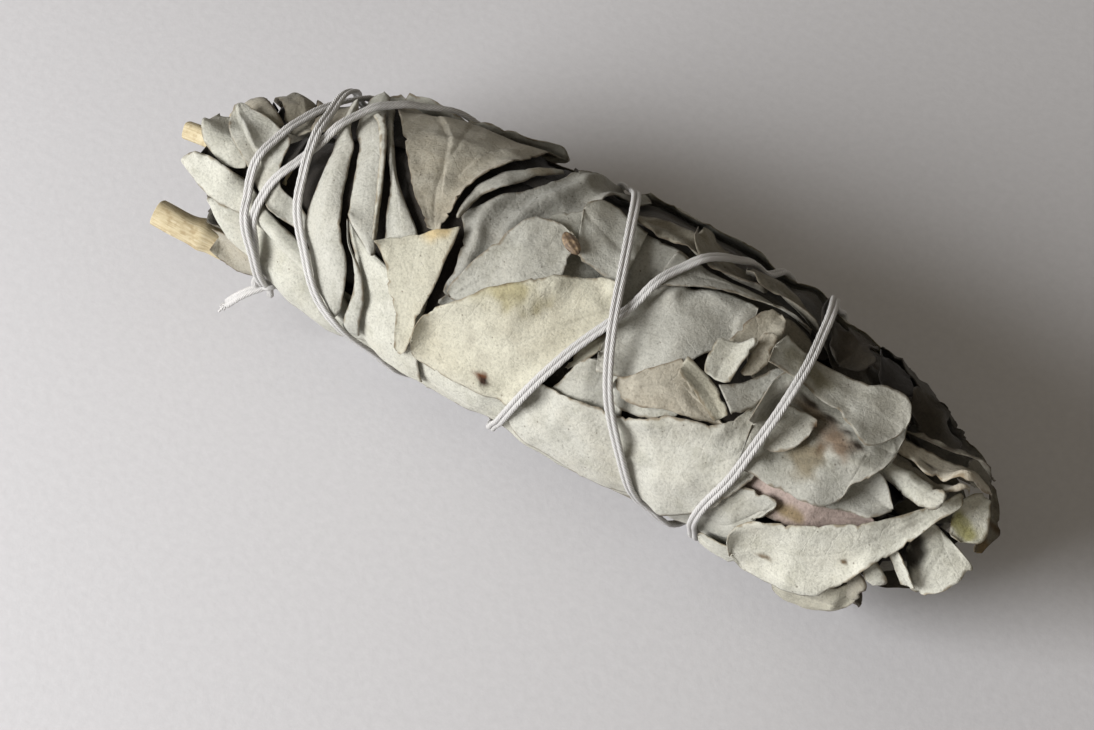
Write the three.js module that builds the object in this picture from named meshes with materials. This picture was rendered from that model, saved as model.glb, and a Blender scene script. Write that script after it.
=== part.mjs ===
import * as THREE from 'three'

// White sage bundle, millimetres, +Z up. It lies on its flattened underside, stems at -X, leaf tips at +X.
const axisHeight = 16.6
const packDepth = 4.6
const leafThick = 0.42
const layerGap = 0.2
const twineWide = 1.8
const twineDeep = 1.3
const knotSize = 2.1

// Outline of the packed body: distance along the bundle against radius.
const bodyAlong = [-60, -56, -50, -44, -36, -26, -12, 4, 18, 30, 40, 48, 54, 58, 64]
const bodyRadius = [5, 6.3, 8.2, 10.4, 12.8, 15, 16.6, 17.4, 17.6, 17.3, 16.2, 13.8, 11, 8.6, 7]

function between(xs, ys, x) {
  let i = 0
  while (i < xs.length - 2 && x > xs[i + 1]) i += 1
  const t = Math.min(1, Math.max(0, (x - xs[i]) / (xs[i + 1] - xs[i])))
  return ys[i] + (ys[i + 1] - ys[i]) * t
}

function curve(values, t) {
  const n = values.length - 1
  const f = Math.min(n - 1e-9, Math.max(0, t * n))
  const i = Math.floor(f)
  const u = f - i
  const p = [values[Math.max(0, i - 1)], values[i], values[i + 1], values[Math.min(n, i + 2)]]
  const m1 = (p[2] - p[0]) / 2
  const m2 = (p[3] - p[1]) / 2
  const a = 2 * p[1] - 2 * p[2] + m1 + m2
  const b = -3 * p[1] + 3 * p[2] - 2 * m1 - m2
  return ((a * u + b) * u + m1) * u + p[1]
}

function bodyAt(x) {
  return between(bodyAlong, bodyRadius, x)
}

function axisAt(x) {
  const stem = Math.max(0, -10 - x) / 45
  const tip = Math.max(0, x - 15) / 42
  return { y: -3 * stem * stem - 2.5 * tip * tip, z: axisHeight - 0.8 * (stem * stem + tip * tip) }
}

function place(x, angle, radius) {
  const axis = axisAt(x)
  const a = THREE.MathUtils.degToRad(angle)
  return new THREE.Vector3(x, axis.y - radius * Math.sin(a), axis.z + radius * Math.cos(a))
}

// Twine route: distance along the bundle and angle round it, 0 on top, 90 on the near side.
const routeOut = [[-36.4, 800], [-37, 768], [-35.4, 726], [-28, 690], [-18, 630], [-8, 540], [1, 450],
  [7, 405], [13, 360], [19.5, 320], [22.5, 270], [25, 180], [27.5, 90], [31, 52], [32.8, 15],
  [32, -15], [30.5, -35]]
const routeBack = [[30, -48], [29.5, -90], [26, -180], [19.5, -270], [13.5, -315], [8, -360],
  [2, -405], [-4, -450], [-15, -540], [-25, -638], [-32, -675], [-34.3, -708], [-34, -730], [-33, -748]]
const routeLoop = [[-38.4, 72], [-39.2, 40], [-38.2, 8], [-36, -25], [-35, -60], [-35.5, -120], [-36.5, -180],
  [-37, -225], [-37.2, -248]]

const routeSpots = [routeOut, routeBack, routeLoop].flatMap((route) => {
  const steps = route.length * 8
  return Array.from({ length: steps + 1 }, (_, i) => [0, 1].map((k) => curve(route.map((p) => p[k]), i / steps)))
})

function routeGap(x, angle) {
  let best = 99
  for (const [rx, ra] of routeSpots) {
    if (Math.abs(x - rx) < 8) {
      const turn = ((((angle - ra) % 360) + 540) % 360) - 180
      best = Math.min(best, Math.hypot(x - rx, turn * 0.3))
    }
  }
  return best
}

const gapStore = new Map()
function grooveGap(x, angle) {
  const key = Math.round(x * 2) * 1000 + Math.round((((angle % 360) + 360) % 360) / 2)
  if (!gapStore.has(key)) gapStore.set(key, routeGap(x, angle))
  return gapStore.get(key)
}

// Cover: how far the leaves laid so far stand out from the packed middle, over a grid along and round it.
const stepX = 0.5
const stepA = 2
const startX = -66
const cellsX = 268
const cellsA = 180
const cover = new Float32Array(cellsX * cellsA)

function underLimit(angle, height) {
  const c = -Math.cos(THREE.MathUtils.degToRad(angle))
  return c > 0.2 ? height / c : 99
}

function coreAt(x, angle) {
  const low = underLimit(angle, axisAt(x).z - 9.3)
  const groove = 0.8 * (1 - THREE.MathUtils.smoothstep(grooveGap(x, angle), 0.8, 4.5))
  const near = Math.max(0, Math.sin(THREE.MathUtils.degToRad(angle)))
  const round = bodyAt(x) - packDepth - 1.1 * near
  return -1.3 * Math.log(Math.exp(-round / 1.3) + Math.exp(-low / 1.3)) - groove
}

function coverAt(x, angle, reach, along = reach) {
  const radius = Math.max(4, bodyAt(x))
  const reachX = Math.ceil(along / stepX)
  const reachA = Math.ceil(THREE.MathUtils.radToDeg(reach / radius) / stepA)
  const ci = Math.round((x - startX) / stepX)
  const cj = Math.round(angle / stepA)
  let top = 0
  for (let i = Math.max(0, ci - reachX); i <= Math.min(cellsX - 1, ci + reachX); i += 1) {
    for (let j = cj - reachA; j <= cj + reachA; j += 1) {
      top = Math.max(top, cover[i * cellsA + (((j % cellsA) + cellsA) % cellsA)])
    }
  }
  return top
}

function markCover(point, spread) {
  const axis = axisAt(point.x)
  const dy = -(point.y - axis.y)
  const dz = point.z - axis.z
  const angle = THREE.MathUtils.radToDeg(Math.atan2(dy, dz))
  const radius = Math.hypot(dy, dz)
  const core = coreAt(point.x, angle)
  const ci = Math.round((point.x - startX) / stepX)
  const cj = Math.round(angle / stepA)
  for (let i = Math.max(0, ci - spread); i <= Math.min(cellsX - 1, ci + spread); i += 1) {
    for (let j = cj - spread; j <= cj + spread; j += 1) {
      const k = i * cellsA + (((j % cellsA) + cellsA) % cellsA)
      cover[k] = Math.max(cover[k], radius - core)
    }
  }
}

// A closed skin over two equal grids of points, outer and inner.
function closedSheet(outer, inner) {
  const rows = outer.length
  const cols = outer[0].length
  const points = [...outer.flat(), ...inner.flat()]
  const half = rows * cols
  const faces = []
  const quad = (a, b, c, d) => faces.push(a, b, c, a, c, d)
  for (let i = 0; i < rows - 1; i += 1) {
    for (let j = 0; j < cols - 1; j += 1) {
      const a = i * cols + j
      quad(a, a + 1, a + cols + 1, a + cols)
      quad(half + a, half + a + cols, half + a + cols + 1, half + a + 1)
    }
  }
  for (let i = 0; i < rows - 1; i += 1) {
    const a = i * cols
    const b = a + cols - 1
    quad(a, a + cols, half + a + cols, half + a)
    quad(b + cols, b, half + b, half + b + cols)
  }
  for (let j = 0; j < cols - 1; j += 1) {
    const b = (rows - 1) * cols + j
    quad(j + 1, j, half + j, half + j + 1)
    quad(b, b + 1, half + b + 1, half + b)
  }
  const shape = new THREE.BufferGeometry()
  shape.setAttribute('position', new THREE.Float32BufferAttribute(points.flatMap((p) => [p.x, p.y, p.z]), 3))
  shape.setIndex(faces)
  shape.computeVertexNormals()
  return shape
}

function bodyColour(name, colour, roughness) {
  const material = new THREE.MeshStandardMaterial({ color: colour, roughness, metalness: 0 })
  material.name = name
  return material
}

const bundle = new THREE.Group()
bundle.name = 'white_sage_bundle'

function addPiece(name, shape, material) {
  const mesh = new THREE.Mesh(shape, material)
  mesh.name = name
  bundle.add(mesh)
  return mesh
}

const leafMaterial = bodyColour('sage_leaf', 0xb9bbab, 0.95)
const innerMaterial = bodyColour('sage_leaf_inner', 0x8d8c7c, 0.95)
const stemMaterial = bodyColour('sage_stem', 0xd9caa5, 0.85)
const budMaterial = bodyColour('sage_bud', 0x8a5a3c, 0.9)
const twineMaterial = bodyColour('cotton_twine', 0xeceae6, 0.9)

// Flat layout of a leaf: stations along its line, points across it, the curl of one edge.
function leafLayout(spec, rows, cols) {
  const grid = []
  for (let i = 0; i <= rows; i += 1) {
    const t = i / rows
    const at = [0, 1, 2].map((k) => curve(spec.line.map((p) => p[k]), t))
    const next = [0, 1].map((k) => curve(spec.line.map((p) => p[k]), Math.min(1, t + 0.01)))
    const last = [0, 1].map((k) => curve(spec.line.map((p) => p[k]), Math.max(0, t - 0.01)))
    const scale = THREE.MathUtils.degToRad(Math.max(6, bodyAt(at[0])))
    const dx = next[0] - last[0]
    const ds = (next[1] - last[1]) * scale
    const long = Math.hypot(dx, ds)
    const half = Math.max(0.5, at[2] / 2)
    const row = []
    for (let j = 0; j <= cols; j += 1) {
      const v = -1 + 2 * j / cols
      const bent = curledEdge(spec, v, half)
      row.push({
        x: at[0] - ds / long * bent.across,
        angle: at[1] + dx / long * bent.across / scale,
        lift: bent.lift + spec.rise(t) + spec.arch * (1 - v * v),
        flat: bent.flat,
        t,
        v
      })
    }
    grid.push(row)
  }
  return grid
}

function curledEdge(spec, v, half) {
  const side = v * spec.curlSide
  const across = v * half
  if (spec.curlSide === 0 || side <= spec.curlFrom) return { across, lift: 0, flat: v }
  const arc = (side - spec.curlFrom) * half
  const radius = Math.max(0.9, (1 - spec.curlFrom) * half / THREE.MathUtils.degToRad(spec.curlTurn))
  const phi = arc / radius
  const reach = spec.curlFrom * half + radius * Math.sin(phi)
  return { across: reach * spec.curlSide, lift: radius * (1 - Math.cos(phi)), flat: spec.curlFrom * spec.curlSide }
}

// Height of every leaf point over what is already laid, drawn tight over the hollows.
function drape(grid, spec) {
  const rows = grid.length
  const cols = grid[0].length
  const span = Math.abs(spec.line[spec.line.length - 1][0] - spec.line[0][0]) / (rows - 1)
  const along = Math.max(spec.reach, 0.7 * span)
  const rest = layerGap + spec.thick / 2
  const least = grid.map((row) => row.map((p) => coverAt(p.x, p.angle, spec.reach, along) + rest))
  let now = least.map((row) => row.slice())
  for (let k = 0; k < spec.tight; k += 1) {
    now = now.map((row, i) => row.map((r, j) => {
      const a = now[Math.max(0, i - 1)][j] + now[Math.min(rows - 1, i + 1)][j]
      const b = row[Math.max(0, j - 1)] + row[Math.min(cols - 1, j + 1)]
      return Math.max(least[i][j], (a + b) / 4)
    }))
  }
  return now
}

function leafPoints(grid, radii, spec) {
  return grid.map((row, i) => row.map((p, j) => {
    let radius = coreAt(p.x, p.angle) + radii[i][j] + p.lift
    if (spec.under) {
      const open = THREE.MathUtils.smoothstep(routeGap(p.x, p.angle), 2.2, 6)
      const axis = axisAt(p.x)
      const face = Math.min(bodyAt(p.x) + 2.6, underLimit(p.angle, axis.z + 0.2 - spec.thick / 2))
      radius = Math.max(radius, THREE.MathUtils.lerp(radius, face, open))
    }
    return place(p.x, p.angle, radius)
  }))
}

function sheetNormal(points, i, j) {
  const rows = points.length - 1
  const cols = points[0].length - 1
  const along = points[Math.min(rows, i + 1)][j].clone().sub(points[Math.max(0, i - 1)][j])
  const across = points[i][Math.min(cols, j + 1)].clone().sub(points[i][Math.max(0, j - 1)])
  return across.cross(along).normalize()
}

function thicken(points, thick) {
  const shift = (side) => points.map((row, i) => row.map((p, j) => {
    const moved = p.clone().addScaledVector(sheetNormal(points, i, j), side * thick / 2)
    moved.z = Math.max(side > 0 ? 0 : 0.28, moved.z)
    return moved
  }))
  return [shift(1), shift(-1)]
}

function markSheet(grid) {
  for (let i = 0; i < grid.length - 1; i += 1) {
    for (let j = 0; j < grid[0].length - 1; j += 1) {
      for (let a = 0; a <= 5; a += 1) {
        for (let b = 0; b <= 5; b += 1) {
          const low = grid[i][j].clone().lerp(grid[i][j + 1], b / 5)
          const high = grid[i + 1][j].clone().lerp(grid[i + 1][j + 1], b / 5)
          markCover(low.lerp(high, a / 5), 1)
        }
      }
    }
  }
}

const plainLeaf = {
  rows: 9, cols: 4, thick: leafThick, reach: 1.5, tight: 3, arch: 0, curlSide: 0, curlFrom: 0.6, curlTurn: 150,
  under: false, rise: () => 0, material: leafMaterial
}

function layLeaf(name, line, options = {}) {
  const spec = { ...plainLeaf, ...options, line }
  if (Array.isArray(options.rise)) spec.rise = (t) => curve(options.rise, t)
  const grid = leafLayout(spec, spec.rows, spec.cols)
  const radii = spec.free ? grid.map((row) => row.map((p) => curve(spec.free, p.t) - coreAt(p.x, p.angle))) : drape(grid, spec)
  const cols = spec.cols
  grid.forEach((row, i) => row.forEach((p, j) => {
    if (p.flat !== p.v) {
      const edge = Math.round((p.flat + 1) / 2 * cols)
      radii[i][j] = radii[i][edge]
    }
  }))
  const points = leafPoints(grid, radii, spec)
  const [outer, inner] = thicken(points, spec.thick)
  markSheet(outer)
  return addPiece(name, closedSheet(outer, inner), spec.material)
}

// Round pieces: rings of points along a path, closed at both ends.
function closedRod(rings, name, material) {
  const sides = rings[0].length
  const points = rings.flat()
  const faces = []
  for (let i = 0; i < rings.length - 1; i += 1) {
    for (let j = 0; j < sides; j += 1) {
      const a = i * sides + j
      const b = i * sides + (j + 1) % sides
      faces.push(a, b, b + sides, a, b + sides, a + sides)
    }
  }
  const mid = (ring) => ring.reduce((s, p) => s.add(p), new THREE.Vector3()).divideScalar(sides)
  points.push(mid(rings[0]), mid(rings[rings.length - 1]))
  const tail = (rings.length - 1) * sides
  for (let j = 0; j < sides; j += 1) {
    faces.push(points.length - 2, (j + 1) % sides, j)
    faces.push(points.length - 1, tail + j, tail + (j + 1) % sides)
  }
  const shape = new THREE.BufferGeometry()
  shape.setAttribute('position', new THREE.Float32BufferAttribute(points.flatMap((p) => [p.x, p.y, p.z]), 3))
  shape.setIndex(faces)
  shape.computeVertexNormals()
  return addPiece(name, shape, material)
}

function ringsAlong(path, outward, wide, deep, sides) {
  return path.map((p, i) => {
    const along = path[Math.min(path.length - 1, i + 1)].clone().sub(path[Math.max(0, i - 1)]).normalize()
    const flat = outward(p, i).cross(along).normalize()
    const up = along.clone().cross(flat).normalize()
    const size = typeof wide === 'function' ? wide(i / (path.length - 1)) : [wide / 2, deep / 2]
    const ring = []
    for (let j = 0; j < sides; j += 1) {
      const a = (j + 0.5) / sides * Math.PI * 2
      ring.push(p.clone().addScaledVector(flat, Math.cos(a) * size[0]).addScaledVector(up, Math.sin(a) * size[1]))
    }
    return ring
  })
}

function radial(p) {
  const axis = axisAt(p.x)
  return new THREE.Vector3(0, p.y - axis.y, p.z - axis.z).normalize()
}

function layPath(route, steps, half, reach, tight) {
  const spots = []
  for (let i = 0; i <= steps; i += 1) {
    spots.push([0, 1, 2].map((k) => curve(route.map((p) => p[k] ?? 0), i / steps)))
  }
  const least = spots.map(([x, angle]) => coverAt(x, angle, reach) + half + 0.2)
  let radii = least.slice()
  for (let k = 0; k < tight; k += 1) {
    radii = radii.map((r, i) => {
      const mean = (radii[Math.max(0, i - 1)] + radii[Math.min(steps, i + 1)]) / 2
      return Math.max(least[i], mean)
    })
  }
  return spots.map(([x, angle, rise], i) => place(x, angle, coreAt(x, angle) + radii[i] + rise))
}

function layTwine(name, route, steps) {
  const path = layPath(route, steps, twineDeep / 2, 1.9, 4)
  const rings = ringsAlong(path, (p) => radial(p), twineWide, twineDeep, 8)
  rings.flat().forEach((p) => markCover(p, 1))
  path.forEach((p) => markCover(p.clone().addScaledVector(radial(p), twineDeep / 2), 2))
  return closedRod(rings, name, twineMaterial)
}

function layStem(name, route, thick) {
  const path = layPath(route, 8, thick / 2, thick / 2, 2)
  const rings = ringsAlong(path, (p) => radial(p), thick, thick, 10)
  markSheet(rings.map((ring) => [...ring, ring[0]]))
  return closedRod(rings, name, stemMaterial)
}

// Leaves packed round the middle.
for (let k = 0; k < 4; k += 1) {
  const a = 30 + 90 * k
  const line = [[-44, a, 7], [-28, a + 4, 20], [-4, a - 3, 23], [22, a + 2, 23], [42, a - 2, 19], [53, a, 8]]
  layLeaf(`leaf_inner_${k + 1}`, line, { material: innerMaterial, rows: 10, cols: 6 })
}

// Two leaves rolled up lengthwise in the very middle.
function layHeart(name, turnStart, stemEnd, tipEnd) {
  const rows = 8
  const cols = 12
  const skin = (side) => Array.from({ length: rows + 1 }, (_, i) => {
    const x = stemEnd + (tipEnd - stemEnd) * i / rows
    const room = bodyAt(x) - packDepth - 2
    return Array.from({ length: cols + 1 }, (_, j) => {
      const turn = j / cols
      const radius = 1.4 + (room - 1.4) * turn * 0.95 + side * leafThick / 2
      const angle = turnStart + turn * 330 + i * 4
      const low = Math.min(radius, underLimit(angle, axisAt(x).z - 10.6 + side * leafThick / 2))
      return place(x + 1.5 * Math.sin(turn * 5 + i), angle, low)
    })
  })
  addPiece(name, closedSheet(skin(1), skin(-1)), innerMaterial)
}
layHeart('leaf_heart_1', 20, -46, 52)
layHeart('leaf_heart_2', 200, -43, 54)

// Cut stems between the inner leaves and the leaf bases.
layStem('stem_top', [[-54, 0, 1.5], [-47, 4, 0.5], [-40, 8, 0], [-30, 10, 0]], 2.4)
layStem('stem_under', [[-55, 236, 1.5], [-48, 232, 0.5], [-40, 228, 0], [-30, 226, 0]], 2.6)
layStem('stem_far', [[-53, -92, 1], [-46, -88, 0.3], [-38, -84, 0], [-30, -84, 0]], 2.2)

// Second layer, far side and underneath.
layLeaf('leaf_far_low', [[-46, -152, 4], [-30, -146, 15], [0, -150, 19], [30, -145, 17], [50, -150, 5]], { reach: 2.6, rows: 13, cols: 5 })
layLeaf('leaf_far_mid', [[-49, -108, 4], [-25, -104, 17], [5, -98, 21], [35, -102, 18], [54, -98, 6]], { reach: 3, cols: 6 })
layLeaf('leaf_near_low', [[-45, 122, 4], [-20, 126, 17], [10, 126, 20], [35, 122, 17], [48, 122, 6]], { reach: 2.2, rows: 11, cols: 5 })
layLeaf('leaf_under_long', [[-47, 172, 4], [-20, 174, 17], [10, 177, 20], [36, 172, 16], [50, 172, 5]], { reach: 2.2, cols: 5 })

layStem('stem_main', [[-55.6, 124, 6.4], [-50, 117, 3.6], [-43, 107, 0.8], [-34, 99, 0]], 3.4)

// Narrow leaf bases at the stem end.
layLeaf('leaf_base_1', [[-53, 5, 3], [-46, 12, 7], [-37, 22, 8], [-28, 42, 8], [-20, 66, 5]])
layLeaf('leaf_base_2', [[-53, 42, 4], [-46, 46, 8], [-37, 50, 8], [-29, 66, 8], [-20, 80, 6]])
layLeaf('leaf_base_3', [[-49, 66, 3], [-44, 72, 7], [-34, 82, 8], [-24, 94, 8], [-16, 100, 5]], { reach: 3 })
layLeaf('leaf_base_4', [[-51, -26, 3], [-44, -14, 6], [-36, 4, 7], [-30, 24, 7], [-26, 50, 6], [-22, 74, 4]])
layLeaf('leaf_base_5', [[-48, -52, 3], [-40, -34, 7], [-31, -14, 7], [-26, 14, 6.5], [-21.5, 46, 6], [-19, 68, 3]])
layLeaf('leaf_base_6', [[-46, -78, 4], [-38, -58, 8], [-29, -34, 7.5], [-23, -2, 6.5], [-18, 30, 6], [-16.5, 52, 3]])

// Near side and top, from the stem end on.
layLeaf('leaf_over_top', [[-38, -78, 6], [-29, -52, 15], [-21, -27, 17], [-15.5, -2, 12], [-14, 20, 3]], { rows: 10, cols: 5 })
layLeaf('leaf_near_long', [[-38, 98, 4], [-26, 100, 11], [-12, 100, 13], [2, 100, 10], [12, 98, 4]])
layLeaf('leaf_near_pale', [[-8, 90, 5], [2, 92, 11], [13, 92, 14], [24, 90, 12], [35, 86, 5]])
layLeaf('leaf_triangle', [[-12.5, 82, 4], [-13.5, 64, 6], [-14.5, 46, 9], [-15, 32, 10], [-15, 22, 4]], { rows: 8 })
layLeaf('leaf_furrowed', [[-7, 40, 5], [-6, 20, 9], [-3.5, -5, 11], [-1, -27, 11], [2, -50, 7]])
layLeaf('leaf_rolled_edge', [[-11.5, 18, 2.5], [-11.5, 4, 3.5], [-9.6, -12, 4], [-6.4, -28, 4.5], [-4, -46, 4]], { arch: 0.9, rows: 8 })
layLeaf('leaf_by_bud', [[-6, 34, 4], [-2, 19, 9], [4, 8, 12], [10, 0, 11], [16, -8, 7]])
layLeaf('leaf_far_top', [[-2, -48, 5], [8, -44, 14], [22, -44, 16], [34, -44, 12], [43, -42, 5]], { rise: [0, 0.4, 0.8, 0.6, 1] })
layLeaf('leaf_top_small', [[1, -24, 5], [5, -17, 8], [10, -16, 8], [16, -22, 6]], { rows: 6 })
layLeaf('leaf_pale_broad', [[5, 62, 6], [12, 66, 13], [20, 68, 16], [28, 64, 13], [37, 60, 4]], { rows: 10 })
layLeaf('leaf_grey_smooth', [[5, 22, 7], [10, 23, 12], [15, 21, 13.5], [20, 16, 11], [24, 2, 4]])
layLeaf('leaf_central', [[-12, 68, 5], [-8.5, 63, 11], [-3, 56, 14.5], [3, 45, 15.5], [8, 34, 12], [13, 24, 4]], { rows: 10, cols: 5 })
layLeaf('leaf_broken_tip', [[13, 46, 3], [17.5, 37, 5.5], [22, 32, 7], [27.5, 37, 2]], { rows: 6 })
layLeaf('leaf_wavy', [[22, 34, 5], [28, 28, 14], [34, 26, 17], [40, 22, 18], [46, 20, 10]], { rows: 10, cols: 5, rise: [0, 0, 0.3, 0.8, 1.8] })
layLeaf('leaf_broken_curl', [[21, 26, 3], [23, 16, 5], [25.5, 6, 5.5], [26.5, -6, 5], [26, -14, 3]], { rows: 7, curlSide: -1, curlTurn: 150, curlFrom: 0.1 })
layLeaf('leaf_creased', [[26, 2, 5], [32, 4, 8], [38, 8, 9], [43, 14, 5]], { rows: 7 })
layLeaf('leaf_curled_strip', [[11, 9, 2.5], [15, 0, 3.6], [20, -9, 4.2], [26, -14, 4], [32, -18, 2.5]], { arch: 0.9 })
layLeaf('leaf_pinkish', [[29, 56, 4], [35, 58, 8], [41, 55, 8], [47, 49, 4]], { rows: 7 })

// Tip end.
layLeaf('leaf_rolled_1', [[40, -12, 5], [46, -8, 6.5], [51, -8, 6], [56, -14, 3]], { rows: 7, arch: 1.4 })
layLeaf('leaf_rolled_2', [[40, 12, 5], [46, 14, 8], [51, 10, 7], [55, 0, 3]], { rows: 7, arch: 1.3 })
layLeaf('leaf_far_crumpled', [[31, -30, 8], [38, -32, 12], [46, -30, 12], [53, -36, 5]], { rows: 8, rise: [0, 0.2, 0.4, 0.8], curlSide: -1, curlTurn: 90, curlFrom: 0.5 })
layLeaf('leaf_far_tip', [[36, -70, 6], [44, -66, 13], [50, -62, 12], [54.6, -56, 4]], { rows: 8, rise: [0, 0.1, 0.2, 0.5] })
layLeaf('leaf_torn_flat', [[51, 28, 4], [52.8, 44, 7], [53.2, 62, 7.5], [52, 84, 3]], { rows: 7, rise: [1, 1, 1, 1.5] })
layLeaf('leaf_low_tip_1', [[26, 122, 4], [32, 122, 9], [38, 120, 10], [44, 112, 5]], { rows: 7, rise: [0, 1.8, 3.6, 4.4] })
layLeaf('leaf_low_tip_2', [[34, 144, 5], [40, 140, 9], [46, 132, 9], [51, 118, 4]], { rows: 7, rise: [0, 0.3, 0.6, 1] })
layLeaf('leaf_white_tip', [[30, 98, 8], [36, 86, 16], [41, 72, 19], [46, 54, 14], [51, 30, 8], [55.5, 8, 2.5]], { rows: 12, cols: 6, rise: [0.4, 0.3, 0.4, 0.8, 1.2, 1.6], curlSide: -1, curlTurn: 110, curlFrom: 0.55 })
layLeaf('leaf_tip_curl', [[56.8, -46, 2.4], [57.8, -26, 3.6], [58.4, 0, 4.4], [58.2, 26, 4.4], [57.6, 50, 2.4]], {
  rows: 9, free: [10.8, 8.8, 8, 9, 10.5], curlSide: -1, curlTurn: 130, curlFrom: -0.2 })

// Far side and underneath.
layLeaf('leaf_far_broad', [[-36, -122, 6], [-22, -118, 15], [-6, -120, 17], [10, -124, 12], [20, -128, 4]])
layLeaf('leaf_far_long', [[-8, -84, 5], [8, -86, 15], [24, -90, 16], [40, -88, 11], [52, -84, 4]])
layLeaf('leaf_far_stem_end', [[-45, -132, 4], [-38, -104, 9], [-30, -84, 10], [-20, -76, 9], [-10, -74, 4]])
layLeaf('leaf_under_far', [[-34, -152, 4], [-22, -154, 10], [-8, -150, 12], [8, -146, 11], [22, -142, 4]], { rows: 10 })
layLeaf('leaf_under_stem_end', [[-42, 164, 4], [-33, 166, 12], [-22, 172, 17], [-12, 176, 14], [-5, 178, 4]], { under: true, rows: 14, cols: 7, tight: 1 })
layLeaf('leaf_under_middle', [[-2, 196, 4], [7, 192, 15], [18, 186, 18], [32, 182, 14], [45, 178, 4]], { under: true, rows: 18, cols: 8, tight: 1 })

// Dry bud.
function layBud() {
  const base = coreAt(2.2, 3) + coverAt(2.2, 3, 1.6) + 0.85
  const path = [-1.6, -0.8, 0, 0.8, 1.6].map((d) => place(2.2 + d, 3 + d * 1.5, base))
  const grow = (t) => [0.35 + 0.5 * Math.sin(Math.PI * t), 0.3 + 0.32 * Math.sin(Math.PI * t)]
  const rings = ringsAlong(path, (p) => radial(p), grow, 0, 8)
  rings.flat().forEach((p) => markCover(p, 1))
  closedRod(rings, 'bud_dry', budMaterial)
}
layBud()

const knotRest = coverAt(-37.4, 91, 2.2)
layTwine('twine_run_out', routeOut, 150)
layTwine('twine_stem_loop', routeLoop, 34)
layTwine('twine_run_back', routeBack, 140)

// Knot: the ends drawn through each other on the near side of the stem end.
function layKnot() {
  const middle = [-37.4, 91]
  const base = coreAt(...middle) + knotRest + 1.5
  const centre = place(...middle, base)
  const up = radial(centre)
  const along = new THREE.Vector3(1, 0, 0)
  const side = up.clone().cross(along).normalize()
  const path = []
  for (let i = 0; i <= 44; i += 1) {
    const t = i / 44 * Math.PI * 1.8 + 0.3
    const p = centre.clone()
    p.addScaledVector(along, knotSize * (Math.sin(t) + 1.45 * Math.sin(2 * t)) * 0.5)
    p.addScaledVector(side, knotSize * (Math.cos(t) - 1.45 * Math.cos(2 * t)) * 0.56)
    p.addScaledVector(up, -Math.sin(3 * t) * 0.85)
    path.push(p)
  }
  closedRod(ringsAlong(path, () => up, 1.15, 1.15, 6), 'twine_knot', twineMaterial)
}
layKnot()

// Loose end, running off the knot past the stems.
function layTail() {
  const start = place(-41, 92, coreAt(-41, 92) + knotRest + 1.4)
  const path = []
  for (let i = 0; i <= 8; i += 1) {
    const t = i / 8
    path.push(new THREE.Vector3(start.x - 4.8 * t, start.y - 1.2 * t, start.z - 2.2 * t * t))
  }
  const up = new THREE.Vector3(0, -0.5, 1).normalize()
  closedRod(ringsAlong(path, () => up, 1.6, 1.3, 8), 'twine_tail', twineMaterial)
}
layTail()

// The origin is the middle of the footprint, on the surface it lies on.
const box = new THREE.Box3().setFromObject(bundle)
const shift = new THREE.Vector3(-(box.min.x + box.max.x) / 2, -(box.min.y + box.max.y) / 2, -box.min.z)
bundle.children.forEach((mesh) => mesh.geometry.translate(shift.x, shift.y, shift.z))

export default bundle
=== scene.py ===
import itertools
import math

import bmesh
import bpy
import numpy as np
from mathutils import Matrix, Vector


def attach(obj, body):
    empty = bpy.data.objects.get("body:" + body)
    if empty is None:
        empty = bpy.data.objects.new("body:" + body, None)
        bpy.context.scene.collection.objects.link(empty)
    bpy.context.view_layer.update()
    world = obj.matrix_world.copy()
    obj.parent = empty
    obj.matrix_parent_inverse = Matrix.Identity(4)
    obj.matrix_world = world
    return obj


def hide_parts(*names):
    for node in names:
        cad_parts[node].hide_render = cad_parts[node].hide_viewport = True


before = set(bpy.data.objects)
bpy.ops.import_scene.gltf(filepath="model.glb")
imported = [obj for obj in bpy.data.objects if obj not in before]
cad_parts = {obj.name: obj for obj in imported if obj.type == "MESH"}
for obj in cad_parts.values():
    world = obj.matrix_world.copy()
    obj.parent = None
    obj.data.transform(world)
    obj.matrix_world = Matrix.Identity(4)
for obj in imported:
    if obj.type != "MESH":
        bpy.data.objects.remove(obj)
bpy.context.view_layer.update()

mm = 0.001
frameShift = (-1.568, -0.193, 0.0)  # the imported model's origin is the middle of its footprint

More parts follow.
